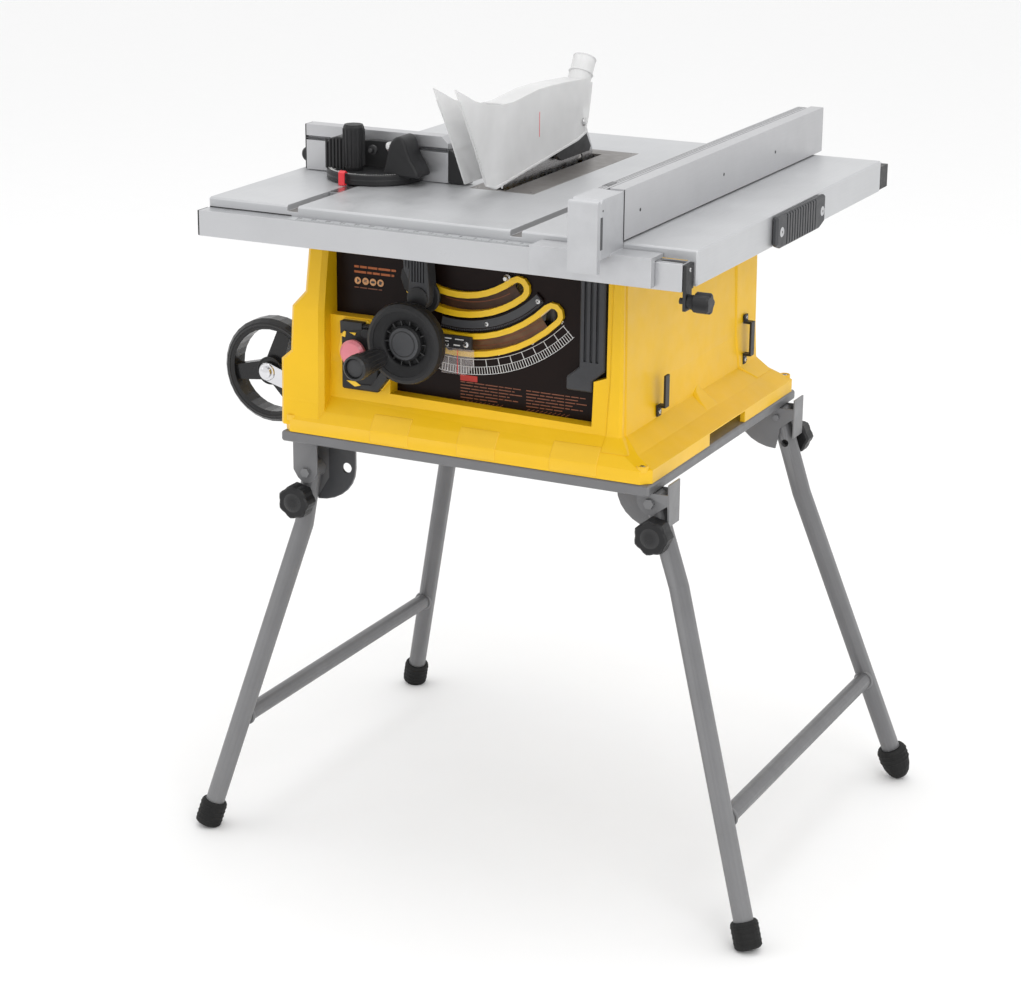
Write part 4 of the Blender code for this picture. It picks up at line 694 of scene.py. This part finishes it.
def switch_details():
    face = -0.233
    outer = [(-0.186, 0.67), (-0.1775, 0.711), (-0.143, 0.711), (-0.118, 0.693), (-0.1085, 0.642),
             (-0.123, 0.6235), (-0.16, 0.6235), (-0.179, 0.64)]
    plate("switch_plate", outer, "Y", -0.2236, -0.2205, YELLOW_TRIM, "base", bevel=0.0008)
    guard = ([(-0.177, 0.71), (-0.1452, 0.71), (-0.1452, 0.701), (-0.169, 0.6985), (-0.1765, 0.693)],
                  [(-0.15, 0.6245), (-0.1235, 0.6245), (-0.1095, 0.642), (-0.115, 0.656),
                   (-0.124, 0.642),
                   (-0.133, 0.631), (-0.148, 0.63)])
    plates("switch_guard", guard, "Y", face - 0.0012, -0.2225, BLACK, "base", bevel=0.0007)
    marks = ([(-0.1752, 0.69), (-0.1725, 0.6985), (-0.169, 0.696), (-0.17, 0.689)],
                  [(-0.164, 0.696), (-0.154, 0.6965), (-0.156, 0.6925)],
                  [(-0.169, 0.633), (-0.157, 0.6262), (-0.148, 0.6285), (-0.156, 0.633)])
    plates("switch_marks", marks, "Y", face - 0.0004, -0.23, YELLOW_TRIM, "base", bevel=0.0003)


# ---- handwheel, crank, lever --------------------------------------------------------
def handwheel_details():
    middle = at_tilt(HANDWHEEL_R, HANDWHEEL_DEGREES)
    front = HANDWHEEL_FRONT
    turned("handwheel_dish", [(0.028, 0.0145), (0.0286, 0.01), (0.03, 0.0078), (0.034, 0.0058),
        (0.04, 0.003), (0.044, 0.001), (0.0462, 0.0004), (0.048, 0.0022), (0.044, 0.008),
        (0.032, 0.016)], (middle[0], front, middle[1]), BACK, 64, GRIP_BLACK, "handwheel")
    ribs = [spoke(2 * pi * i / 14, middle, 0.0225, 0.0292, 0.0008, 0.0008) for i in range(14)]
    plates("handwheel_ribs", ribs, "Y", front + 0.0092, front + 0.015, BLACK, "handwheel", smooth=0,
        bevel=0.0003)
    turned("handwheel_cap", [(0, -0.0004), (0.0186, 0.0), (0.0202, 0.0012), (0.0206, 0.004),
        (0.016, 0.0044), (0, 0.0044)], (middle[0], front + 0.0026, middle[1]), BACK, 40, DARK_GREY_AND_SHADE,
        "handwheel")
    turned("handwheel_cap_ring", torus_profile(0.016, 0.0006, 8), (middle[0], front + 0.0023, middle[1]),
        BACK, 40, BLACK, "handwheel")
    knob = (-0.101, 0.6795)
    bm = bmesh.new()
    for i in range(16):
        angle = 2 * pi * i / 16
        low = Vector((cos(angle) * 0.0128, 0, sin(angle) * 0.0128))
        high = Vector((cos(angle) * 0.0156, 0, sin(angle) * 0.0156))
        across = Vector((-sin(angle), 0, cos(angle))) * 0.0008
        base = Vector((knob[0], 0, knob[1]))
        a = base + low + Vector((0, front - 0.01, 0))
        b = base + high + Vector((0, front - 0.05, 0))
        lift = Vector((cos(angle), 0, sin(angle))) * 0.0006
        half = across * 0.5
        add_box(bm, (a - across, a + across, b + across, b - across,
                     a - half + lift, a + half + lift, b + half + lift, b - half + lift))
    finish_piece(to_object("crank_knob_ribs", bm), BLACK, "crank_knob")
    turned("crank_knob_socket", [(0, 0.0), (0.0105, 0.0), (0.011, 0.0012), (0.0096, 0.0016), (0, 0.0016)],
        (knob[0], front - 0.0624, knob[1]), FRONT, 28, BLACK_INK_AND_SHADE, "crank_knob")


def lever_details():
    pivot = at_tilt(LEVER_R, LEVER_DEGREES)
    wing = [(pivot[0] - 0.006, 0.809), (pivot[0] - 0.024, 0.806), (pivot[0] - 0.0225, 0.785),
            (pivot[0] - 0.015, 0.77), (pivot[0] - 0.008, 0.766)]
    plate("bevel_lever_wing", wing, "Y", -0.229, -0.215, DARK_GREY_AND_SHADE, "bevel_lever", bevel=0.0012,
        segments=3)
    ribs = []
    for i in range(4):
        x = pivot[0] - 0.0215 + 0.0042 * i
        ribs.append(box_profile((x, x + 0.0022), (0.788 - 0.002 * i, 0.8055)))
    plates("bevel_lever_wing_ribs", ribs, "Y", -0.2304, -0.228, DARK_GREY_AND_SHADE, "bevel_lever", bevel=0.0005)
    profile = [(0, 0), (0.0135, 0), (0.0142, 0.001), (0.0142, 0.003), (0.012, 0.0042), (0, 0.0046)]
    turned("bevel_lever_cap", profile, (pivot[0], -0.2325, pivot[1]), FRONT, 28, BLACK, "bevel_lever")
    turned("bevel_lever_collar", [(0, 0), (0.0215, 0), (0.0222, 0.0012), (0.0222, 0.004), (0.0205, 0.0052),
        (0, 0.0052)], (pivot[0], -0.2142, pivot[1]), FRONT, 36, BLACK, "bevel_lever")
    dark_plate = [(-0.101, 0.77), (-0.096, 0.756), (-0.084, 0.746), (-0.056, 0.738), (-0.048, 0.746),
            (-0.052, 0.76), (-0.07, 0.778), (-0.09, 0.786), (-0.099, 0.781)]
    plate("bevel_clamp_shoe", dark_plate, "Y", -0.214, -0.2086, BLACK, "bevel_carriage", bevel=0.0014,
        segments=3)


# ---- table and rails ----------------------------------------------------------------
def rail_details():
    top = RAIL_TOP
    plate("rail_scale_tape", box_profile((-0.19, 0.135), (-0.3375, -0.3205)), "Z", top + 0.00005,
        top + 0.00035, PALE_STRIP, "base", smooth=0)
    ticks = []
    for i in range(157):
        x = -0.178 + 0.002 * i
        long = 0.007 if i % 5 == 0 else 0.004
        ticks.append(box_profile((x - 0.00022, x + 0.00022), (-0.3362, -0.3362 + long)))
    plates("rail_scale_ticks", ticks, "Z", top + 0.0003, top + 0.00048, TICK_GREY, "base", smooth=0)
    for i in range(16):
        number(f"rail_number_{i}", str(30 - 2 * i), 0.007, (-0.178 + 0.02 * i, -0.3255, top + 0.0004),
            Matrix.Identity(4), TICK_GREY, "base", deep=0.00008)
    for name, y, z in (("rail_cap_left", (-0.3395, -0.317), (0.8248, 0.8562)),
                       ("rear_rail_cap_left", (0.3348, 0.3522), (0.8288, 0.8607))):
        plate(name, box_profile(y, z), "X", -0.3158, -0.3133, BLACK, "base", bevel=0.0008)
    # A dark strip on the table's left side face: painted shade.
    plate("table_side_painted_shade", box_profile((-0.312, 0.33), (0.8545, 0.867)), "X", -0.315, -0.3138,
        DARK_GREY_AND_SHADE, "base", bevel=0.0004)
    # A thin dark strip under the table's front edge: painted shadow between the table and the rail.
    plate("table_front_painted_shadow", box_profile((-0.312, -0.195), (0.856, 0.8576)), "Y", -0.3164, -0.3158,
        BLACK_INK_AND_SHADE, "base", smooth=0)
    for name, x in (("slot_lining_left", -0.1935), ("slot_lining_right", 0.1095)):
        plate(name, box_profile((x - 0.007, x + 0.007), (-0.315, 0.333)), "Z", 0.86155, 0.86175, THROAT,
            "base", smooth=0)
    # The channel in the rail's top is a flat dark sheet: painted shade inside the channel.
    plate("rail_channel", [(0.296, -0.334), (0.329, -0.336), (0.329, -0.3225), (0.307, -0.3225),
        (0.299, -0.327)], "Z", top - 0.0008, top + 0.0003, BLACK_INK_AND_SHADE, "base", smooth=0)
    plate("rail_channel_lip", [(0.2935, -0.3352), (0.329, -0.3372), (0.329, -0.3358), (0.296, -0.334),
        (0.2985, -0.3265), (0.296, -0.326)], "Z", top - 0.0006, top + 0.0008, RAIL_ALU, "base",
        bevel=0.0003)


def throat_details():
    for k, at in enumerate(((-0.0505, -0.103), (0.0245, -0.103), (-0.0505, 0.206), (0.0245, 0.206))):
        screw(f"throat_screw_{k}", (at[0], at[1], TABLE_Z - 0.0004), UP, 0.0032, "base", high=0.0005)


def extension_details():
    face = 0.3393 + 0.008
    for k, (y, z) in enumerate(((-0.07, 0.8455), (0.072, 0.846))):
        turned(f"carry_grip_boss_{k}", [(0, -0.001), (0.0062, -0.001), (0.0062, 0.0004), (0.0052, 0.0012),
            (0.0026, 0.0008), (0, 0.0008)], (face - 0.0004, y, z), RIGHT, 24, CAST_ALU, "extension")
        screw(f"carry_grip_screw_{k}", (face - 0.0002, y, z), RIGHT, 0.003, "extension", high=0.0008)
    screw("rail_plate_screw", (0.3348, -0.328, 0.849), RIGHT, 0.0026, "extension")


# ---- fence --------------------------------------------------------------------------
def fence_details():
    right = FENCE_RIGHT
    for k, (y, z) in enumerate(((-0.2705, 0.899), (-0.0136, 0.8975), (0.1638, 0.8976))):
        turned(f"fence_screw_{k}", [(0, -0.001), (0.0021, -0.001), (0.0021, 0.00015), (0.0016, 0.0003),
            (0.001, 0.0001), (0, 0.0001)], (right, y, z), RIGHT, 18, BLACK_INK_AND_SHADE, "fence")
    plate("fence_joint_line", box_profile((-0.3163, -0.3152), (0.8712, 0.9298)), "X", right - 0.0004,
        right + 0.0001, BLACK_INK_AND_SHADE, "fence", smooth=0)
    # The lever slot is a flat dark rectangle: painted shade inside the slot.
    plate("fence_lever_slot", box_profile((-0.3792, -0.3738), (0.8715, 0.9085)), "X", right - 0.001,
        right - 0.0003, DARK_GREY_AND_SHADE, "fence", smooth=0)
    turned("fence_tiny_screw", [(0, 0), (0.0013, 0), (0.0013, 0.0003), (0, 0.0003)],
        (right - 0.0006, -0.3735, 0.9155), RIGHT, 14, BLACK_INK_AND_SHADE, "fence")
    lines = [box_profile((x - 0.00025, x + 0.00025), (-0.315, 0.3412)) for x in (0.2135, 0.2165, 0.22)]
    plates("fence_top_lines", lines, "Z", 0.92845, 0.9287, DARK_GREY_AND_SHADE, "fence", smooth=0)
    plate("fence_end_cap", [(0.21, 0.8712), (0.2465, 0.8712), (0.2465, 0.93), (0.229, 0.93),
        (0.229, 0.916), (0.2228, 0.916), (0.2228, 0.928), (0.21, 0.928)], "Y", 0.3419, 0.3436, BLACK,
        "fence", bevel=0.0005)
    marks = [box_profile((0.2115 + 0.0022 * i, 0.212 + 0.0022 * i), (-0.3, -0.27 - 0.004 * (i % 2)))
             for i in range(4)]
    plates("fence_front_marks", marks, "Z", 0.9285, 0.92875, BLACK_INK_AND_SHADE, "fence", smooth=0)


# ---- mitre gauge --------------------------------------------------------------------
def miter_details():
    base = MITER_BASE
    pivot = MITER_PIVOT
    lefts = [-0.249 + 0.005 * i for i in range(6)]
    plates("miter_block_ribs", [box_profile((x, x + 0.0026), (-0.1422, -0.1398)) for x in lefts], "Z",
        base + 0.013, 0.9205, BLACK, "miter_head", bevel=0.0005)
    head = plate("miter_head_disc", half_disc(pivot, MITER_RADIUS, 48), "Z", base, base + 0.0135, BLACK,
        "miter_head", "miter_head", bevel=0.0016, segments=3)
    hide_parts("miter_head")
    block_profile = [(-0.2495, base + 0.01), (-0.22, base + 0.01), (-0.22, 0.9225), (-0.233, 0.9235),
                     (-0.241, 0.9215), (-0.2455, 0.9185), (-0.249, 0.913)]
    plate("miter_block", block_profile, "Y", -0.14, -0.1075, BLACK, "miter_head", bevel=0.0018,
        segments=3)
    outline = [(-0.166, 0.88), (-0.16, 0.9), (-0.156, 0.918), (-0.152, 0.926), (-0.144, 0.9315),
               (-0.136, 0.93), (-0.132, 0.922), (-0.129, 0.912), (-0.125, 0.903), (-0.119, 0.8945),
               (-0.115, 0.887), (-0.1135, 0.88)]
    plate("miter_fin", outline, "Y", -0.144, -0.1075, BLACK, "miter_head", bevel=0.004, segments=4)
    plate("miter_fin_web", [(-0.224, 0.88), (-0.15, 0.88), (-0.15, 0.915), (-0.17, 0.918),
        (-0.2, 0.918), (-0.224, 0.914)], "Y", -0.114, -0.1045, BLACK, "miter_head", bevel=0.0012)
    for k, (x, z) in enumerate(((-0.183, 0.91), (-0.1574, 0.9165))):
        turned(f"miter_clamp_screw_{k}", [(0, 0), (0.0062, 0), (0.0062, 0.003), (0.003, 0.004),
            (0.003, 0.0085), (0.0022, 0.0095), (0, 0.0095)], (x, -0.134, z), FRONT, 18,
            SCREW if k else BLACK, "miter_head")
    ticks = []
    for i in range(61):
        long = 0.007 if i % 5 == 0 else 0.004
        ticks.append(spoke(pi + pi * (i + 1.5) / 63, pivot, 0.0618 - long, 0.0618, 0.00028, 0.00028))
    plates("miter_scale_ticks", ticks, "Z", base + 0.0134, base + 0.01385, WHITE_INK, "miter_head",
        smooth=0)
    plate("miter_rim", half_disc(pivot, MITER_RADIUS + 0.0004, 24), "Z", base + 0.0052, base + 0.0075,
        GLOSS_BLACK, "miter_head", bevel=0.0006)
    plate("miter_pointer", [(-0.172, 0.8694), (-0.1785, 0.8694), (-0.1785, 0.8855), (-0.1735, 0.888),
        (-0.169, 0.885), (-0.169, 0.8835), (-0.1735, 0.8855), (-0.176, 0.8835), (-0.176, 0.8712),
        (-0.172, 0.8712)], "X", -0.2092, -0.2008, RED, "miter_bar", bevel=0.0005)
    turned("miter_fence_knob", [(0, 0), (0.0075, 0), (0.0098, 0.002), (0.0102, 0.008), (0.0085, 0.0105),
        (0, 0.0112)], (-0.316, -0.0745, 0.883), BACK, 20, BLACK, "miter_head")
    plate("miter_fence_end", [(-0.1024, 0.8705), (-0.0832, 0.8705), (-0.0832, 0.9288), (-0.1024, 0.9288)],
        "X", -0.3022, -0.3003, BLACK, "miter_head", bevel=0.0005)
    # The groove is a flat dark strip: painted shade inside the groove.
    plate("miter_fence_groove", box_profile((-0.3, -0.093), (0.9102, 0.9122)), "Y", -0.1029, -0.1024,
        DARK_GREY_AND_SHADE, "miter_head", smooth=0)
    knob = (-0.208, -0.14)
    flutes = [spoke(2 * pi * i / 14, knob, 0.012, 0.0143, 0.0011, 0.00055) for i in range(14)]
    plates("miter_knob_flutes", flutes, "Z", 0.889, 0.936, GRIP_BLACK, "miter_knob", bevel=0.0004)


# ---- guard --------------------------------------------------------------------------
def guard_details():
    left, right = -0.0355, -0.0045
    lower = [(-0.168, 0.885), (-0.144, 0.8775), (0.095, 0.902), (0.122, 0.909)]
    outline = lower + [(0.1215, 0.9118), (0.0945, 0.905), (-0.1436, 0.8806), (-0.1668, 0.8876)]
    plate("guard_rim_right", outline, "X", right - 0.0004, right + 0.0022, MILKY, "guard", bevel=0.0005)
    plate("guard_rim_left", outline[2:6], "X", left - 0.0018, left + 0.0004, MILKY, "guard", bevel=0.0005)
    plate("guard_mark", box_profile((-0.0204, -0.0192), (0.924, 0.956)), "X", right, right + 0.0002, RED,
        "guard", smooth=0)
    seam = [(-0.24, 0.999), (-0.195, 0.935), (-0.17, 0.89), (-0.1685, 0.891), (-0.1935, 0.936),
            (-0.2385, 0.9998)]
    for k, x in enumerate((left, right)):
        plate(f"guard_front_bead_{k}", seam, "X", x - 0.0008, x + 0.0008, MILKY, "guard", bevel=0.0004)
    for k, x in enumerate((left - 0.0012, right + 0.0012)):
        turned(f"guard_pin_head_{k}", [(0, -0.0014), (0.005, -0.0014), (0.0056, 0), (0.0044, 0.0014),
            (0, 0.002)], (x, 0.114, 0.924), (1 if k else -1, 0, 0), 20, SCREW, "guard")
    line = Vector((0, 0.543, 0.84)).normalized()
    foot = Vector((-0.02, 0.118, 0.956))
    turned("guard_spout_lip", torus_profile(0.0147, 0.0012, 8), foot + line * 0.0548, line, 28, MILKY,
        "guard")
    turned("guard_spout_ring", torus_profile(0.0157, 0.0011, 8), foot + line * 0.033, line, 28, MILKY,
        "guard")


# ---- stand and wheels ---------------------------------------------------------------
def leg_point(leg, z, rear=False):
    """A point on a leg's centre line at a height."""
    if z > leg.bend_z:
        share = (leg.pivot_z - z) / (leg.pivot_z - leg.bend_z)
        spot = Vector((leg.pivot_x + (leg.bend_x - leg.pivot_x) * share, -leg.top_y, z))
    else:
        share = (leg.bend_z - z) / leg.bend_z
        spot = Vector((leg.bend_x + (leg.foot_x - leg.bend_x) * share,
                       -(leg.top_y + (FOOT_Y - leg.top_y) * share), z))
    return Vector((spot.x, -spot.y, spot.z)) if rear else spot


def stand_details():
    for side, leg, body in (("left", LEFT_LEG, "left_legs"), ("right", RIGHT_LEG, "right_legs")):
        for rear in (False, True):
            where = "rear" if rear else "front"
            spot = leg_point(leg, 0.153, rear)
            inward = Vector((0, -1 if rear else 1, 0))
            turned(f"weld_{where}_{side}", torus_profile(0.0118, 0.0022, 8), spot + inward * 0.0118, inward,
                28, STAND, body)
            if side == "right" and rear:
                continue
            base = leg_point(leg, 0.0034, rear)
            up = (leg_point(leg, 0.3, rear) - base).normalized()
            for k in range(4):
                turned(f"foot_rib_{where}_{side}_{k}", torus_profile(0.017, 0.0011, 6),
                    base + up * (0.0085 + 0.0066 * k), up, 28, RUBBER, body)
    base = leg_point(RIGHT_LEG, 0.0022, True)
    up = (leg_point(RIGHT_LEG, 0.3, True) - base).normalized()
    for k in range(3):
        turned(f"levelling_ring_{k}", torus_profile(0.02, 0.0012, 6), base + up * (0.029 + 0.0062 * k),
            up, 28, RUBBER, "levelling_foot")
    for name, leg, body, rear in (("front_left", LEFT_LEG, "leg_knob_front_left", False),
                                  ("rear_left", LEFT_LEG, "leg_knob_rear_left", True),
                                  ("front_right", RIGHT_LEG, "leg_knob_front_right", False),
                                  ("rear_right", RIGHT_LEG, "leg_knob_rear_right", True)):
        spot = leg_point(leg, leg.pivot_z - 0.036)
        sign = 1 if rear else -1
        face = sign * (leg.top_y + 0.0127 + 0.0046 + 0.024)
        turned(f"leg_knob_cap_{name}", [(0, 0), (0.012, 0), (0.0128, 0.0004), (0.01, 0.0016),
            (0.005, 0.0022), (0, 0.0024)], (spot.x, face - sign * 0.0004, spot.z), (0, sign, 0), 28,
            GLOSS_BLACK, body)


def bracket_shoes():
    """Dark plates over the left hinge plates, with the lock hole: painted shade that darkens the quadrants."""
    pivot = (LEFT_LEG.pivot_x, LEFT_LEG.pivot_z)
    for name, sign in (("front", -1), ("rear", 1)):
        outline = [(pivot[0] + 0.017, 0.543), (pivot[0] + 0.056, 0.543)]
        for i in range(11):
            turn = radians(90) * i / 10
            outline.append((pivot[0] + 0.056 * cos(turn), pivot[1] + 0.004 - 0.047 * sin(turn)))
        outline.append((pivot[0] + 0.0005, pivot[1] - 0.04))
        outline.append((pivot[0] + 0.017, pivot[1] - 0.013))
        inner = LEFT_LEG.top_y - 0.0137 - 0.0028
        low, high = sorted((sign * (inner - 0.0006), sign * (inner + 0.0034)))
        dark_plate = prism(f"bracket_shade_{name}", outline, "Y", low, high)
        hole = prism(f"bracket_shade_hole_{name}", [(pivot[0] + 0.044 + 0.0068 * cos(2 * pi * i / 20),
                                                    pivot[1] + 0.004 + 0.0068 * sin(2 * pi * i / 20))
                                                   for i in range(20)], "Y", low - 0.01, high + 0.01)
        cutter = dark_plate.modifiers.new("hole", "BOOLEAN")
        cutter.operation = "DIFFERENCE"
        cutter.solver = "EXACT"
        cutter.object = hole
        mesh = bpy.data.meshes.new_from_object(dark_plate.evaluated_get(bpy.context.evaluated_depsgraph_get()))
        dark_plate.modifiers.clear()
        dark_plate.data = mesh
        bpy.data.objects.remove(hole, do_unlink=True)
        # Painted shade: this dark overlay darkens the hinge quadrant.
        finish_piece(dark_plate, DARK_GREY_AND_SHADE, "base", bevel=0.0007)


def wheel_details():
    for name, y in (("front", -0.13), ("rear", 0.13)):
        for k, face in enumerate((-1, 1)):
            for part, radius, tube, inset, count, material in (
                    ("bead", 0.0625, 0.0016, 0.0004, 56, GLOSS_BLACK), ("step", 0.018, 0.0012, 0.001, 32, BLACK)):
                turned(f"wheel_{name}_{part}_{k}", torus_profile(radius, tube, 8),
                       (WHEEL[0], y + face * (WHEEL_HALF - inset), WHEEL[1]), BACK, count, material,
                       f"wheel_{name}")
        out = -1 if name == "front" else 1
        turned(f"axle_washer_{name}", [(0.0062, 0), (0.0112, 0), (0.0118, 0.0006), (0.0112, 0.0014),
            (0.0062, 0.0014)], (WHEEL[0], out * 0.1516, WHEEL[1]), (0, out, 0), 32, CHROME, "base")
        turned(f"axle_end_{name}", [(0, 0), (0.0072, 0), (0.0078, 0.0008), (0.0074, 0.003),
            (0.004, 0.0042), (0, 0.0044)], (WHEEL[0], out * 0.1532, WHEEL[1]), (0, out, 0), 24, CHROME,
            "base")


def hook_details():
    for name, y, z, radius in (("front", -0.117, 0.6135, 0.0032), ("rear", 0.171, 0.6135, 0.0032),
                               ("rear_top", 0.171, 0.6715, 0.0026)):
        screw(f"hook_screw_{name}", (0.213, y, z), RIGHT, radius, "base")


# ---- stage --------------------------------------------------------------------------
def studio():
    bm = bmesh.new()
    bmesh.ops.create_grid(bm, x_segments=2, y_segments=2, size=14)
    mesh = bpy.data.meshes.new("floor")
    bm.to_mesh(mesh)
    bm.free()
    floor = bpy.data.objects.new("floor", mesh)
    bpy.context.scene.collection.objects.link(floor)
    floor.data.materials.append(surface("studio_floor", (0.93, 0.93, 0.93), 0.75, spread=0.003, grain=40,
                                        bump=0.0))
    world = bpy.context.scene.world or bpy.data.worlds.new("studio")
    bpy.context.scene.world = world
    world.use_nodes = True
    sky = world.node_tree.nodes["Background"]
    sky.inputs["Color"].default_value = (1.0, 1.0, 1.0, 1.0)
    sky.inputs["Strength"].default_value = 1.0
    for name, at, size, power in (("key", (2.6, -2.6, 3.2), 2.2, 46), ("fill", (-3.4, -1.6, 2.2), 2.8, 12),
                                  ("top", (0.0, 0.4, 4.2), 2.6, 26)):
        lamp = bpy.data.lights.new(name, "AREA")
        lamp.energy = power
        lamp.size = size
        obj = bpy.data.objects.new(name, lamp)
        obj.location = at
        obj.rotation_euler = (Vector((0, 0, 0.6)) - Vector(at)).to_track_quat("-Z", "Y").to_euler()
        bpy.context.scene.collection.objects.link(obj)
    bpy.context.scene.view_settings.view_transform = "Standard"


def camera():
    forward = Vector((-0.42292, 0.85256, -0.30705)).normalized()
    right = forward.cross(Vector(UP)).normalized()
    up = right.cross(forward)
    roll = radians(0.453)
    side = right * cos(roll) + up * sin(roll)
    over = side.cross(forward)
    lens = bpy.data.cameras.new("main_camera")
    lens.sensor_fit = "HORIZONTAL"
    lens.sensor_width = 36.0
    lens.lens = 90.7828
    obj = bpy.data.objects.new("main_camera", lens)
    place = Matrix((side, over, -forward)).transposed().to_4x4()
    place.translation = Vector((1.4009, -2.943, 1.4911))
    obj.matrix_world = place
    bpy.context.scene.collection.objects.link(obj)
    bpy.context.scene.camera = obj


camera()
dress_all()
housing_details()
panel_prints()
bevel_scale()
rack_details()
pointer_details()
switch_details()
handwheel_details()
lever_details()
rail_details()
throat_details()
extension_details()
fence_details()
miter_details()
guard_details()
stand_details()
wheel_details()
bracket_shoes()
hook_details()
studio()
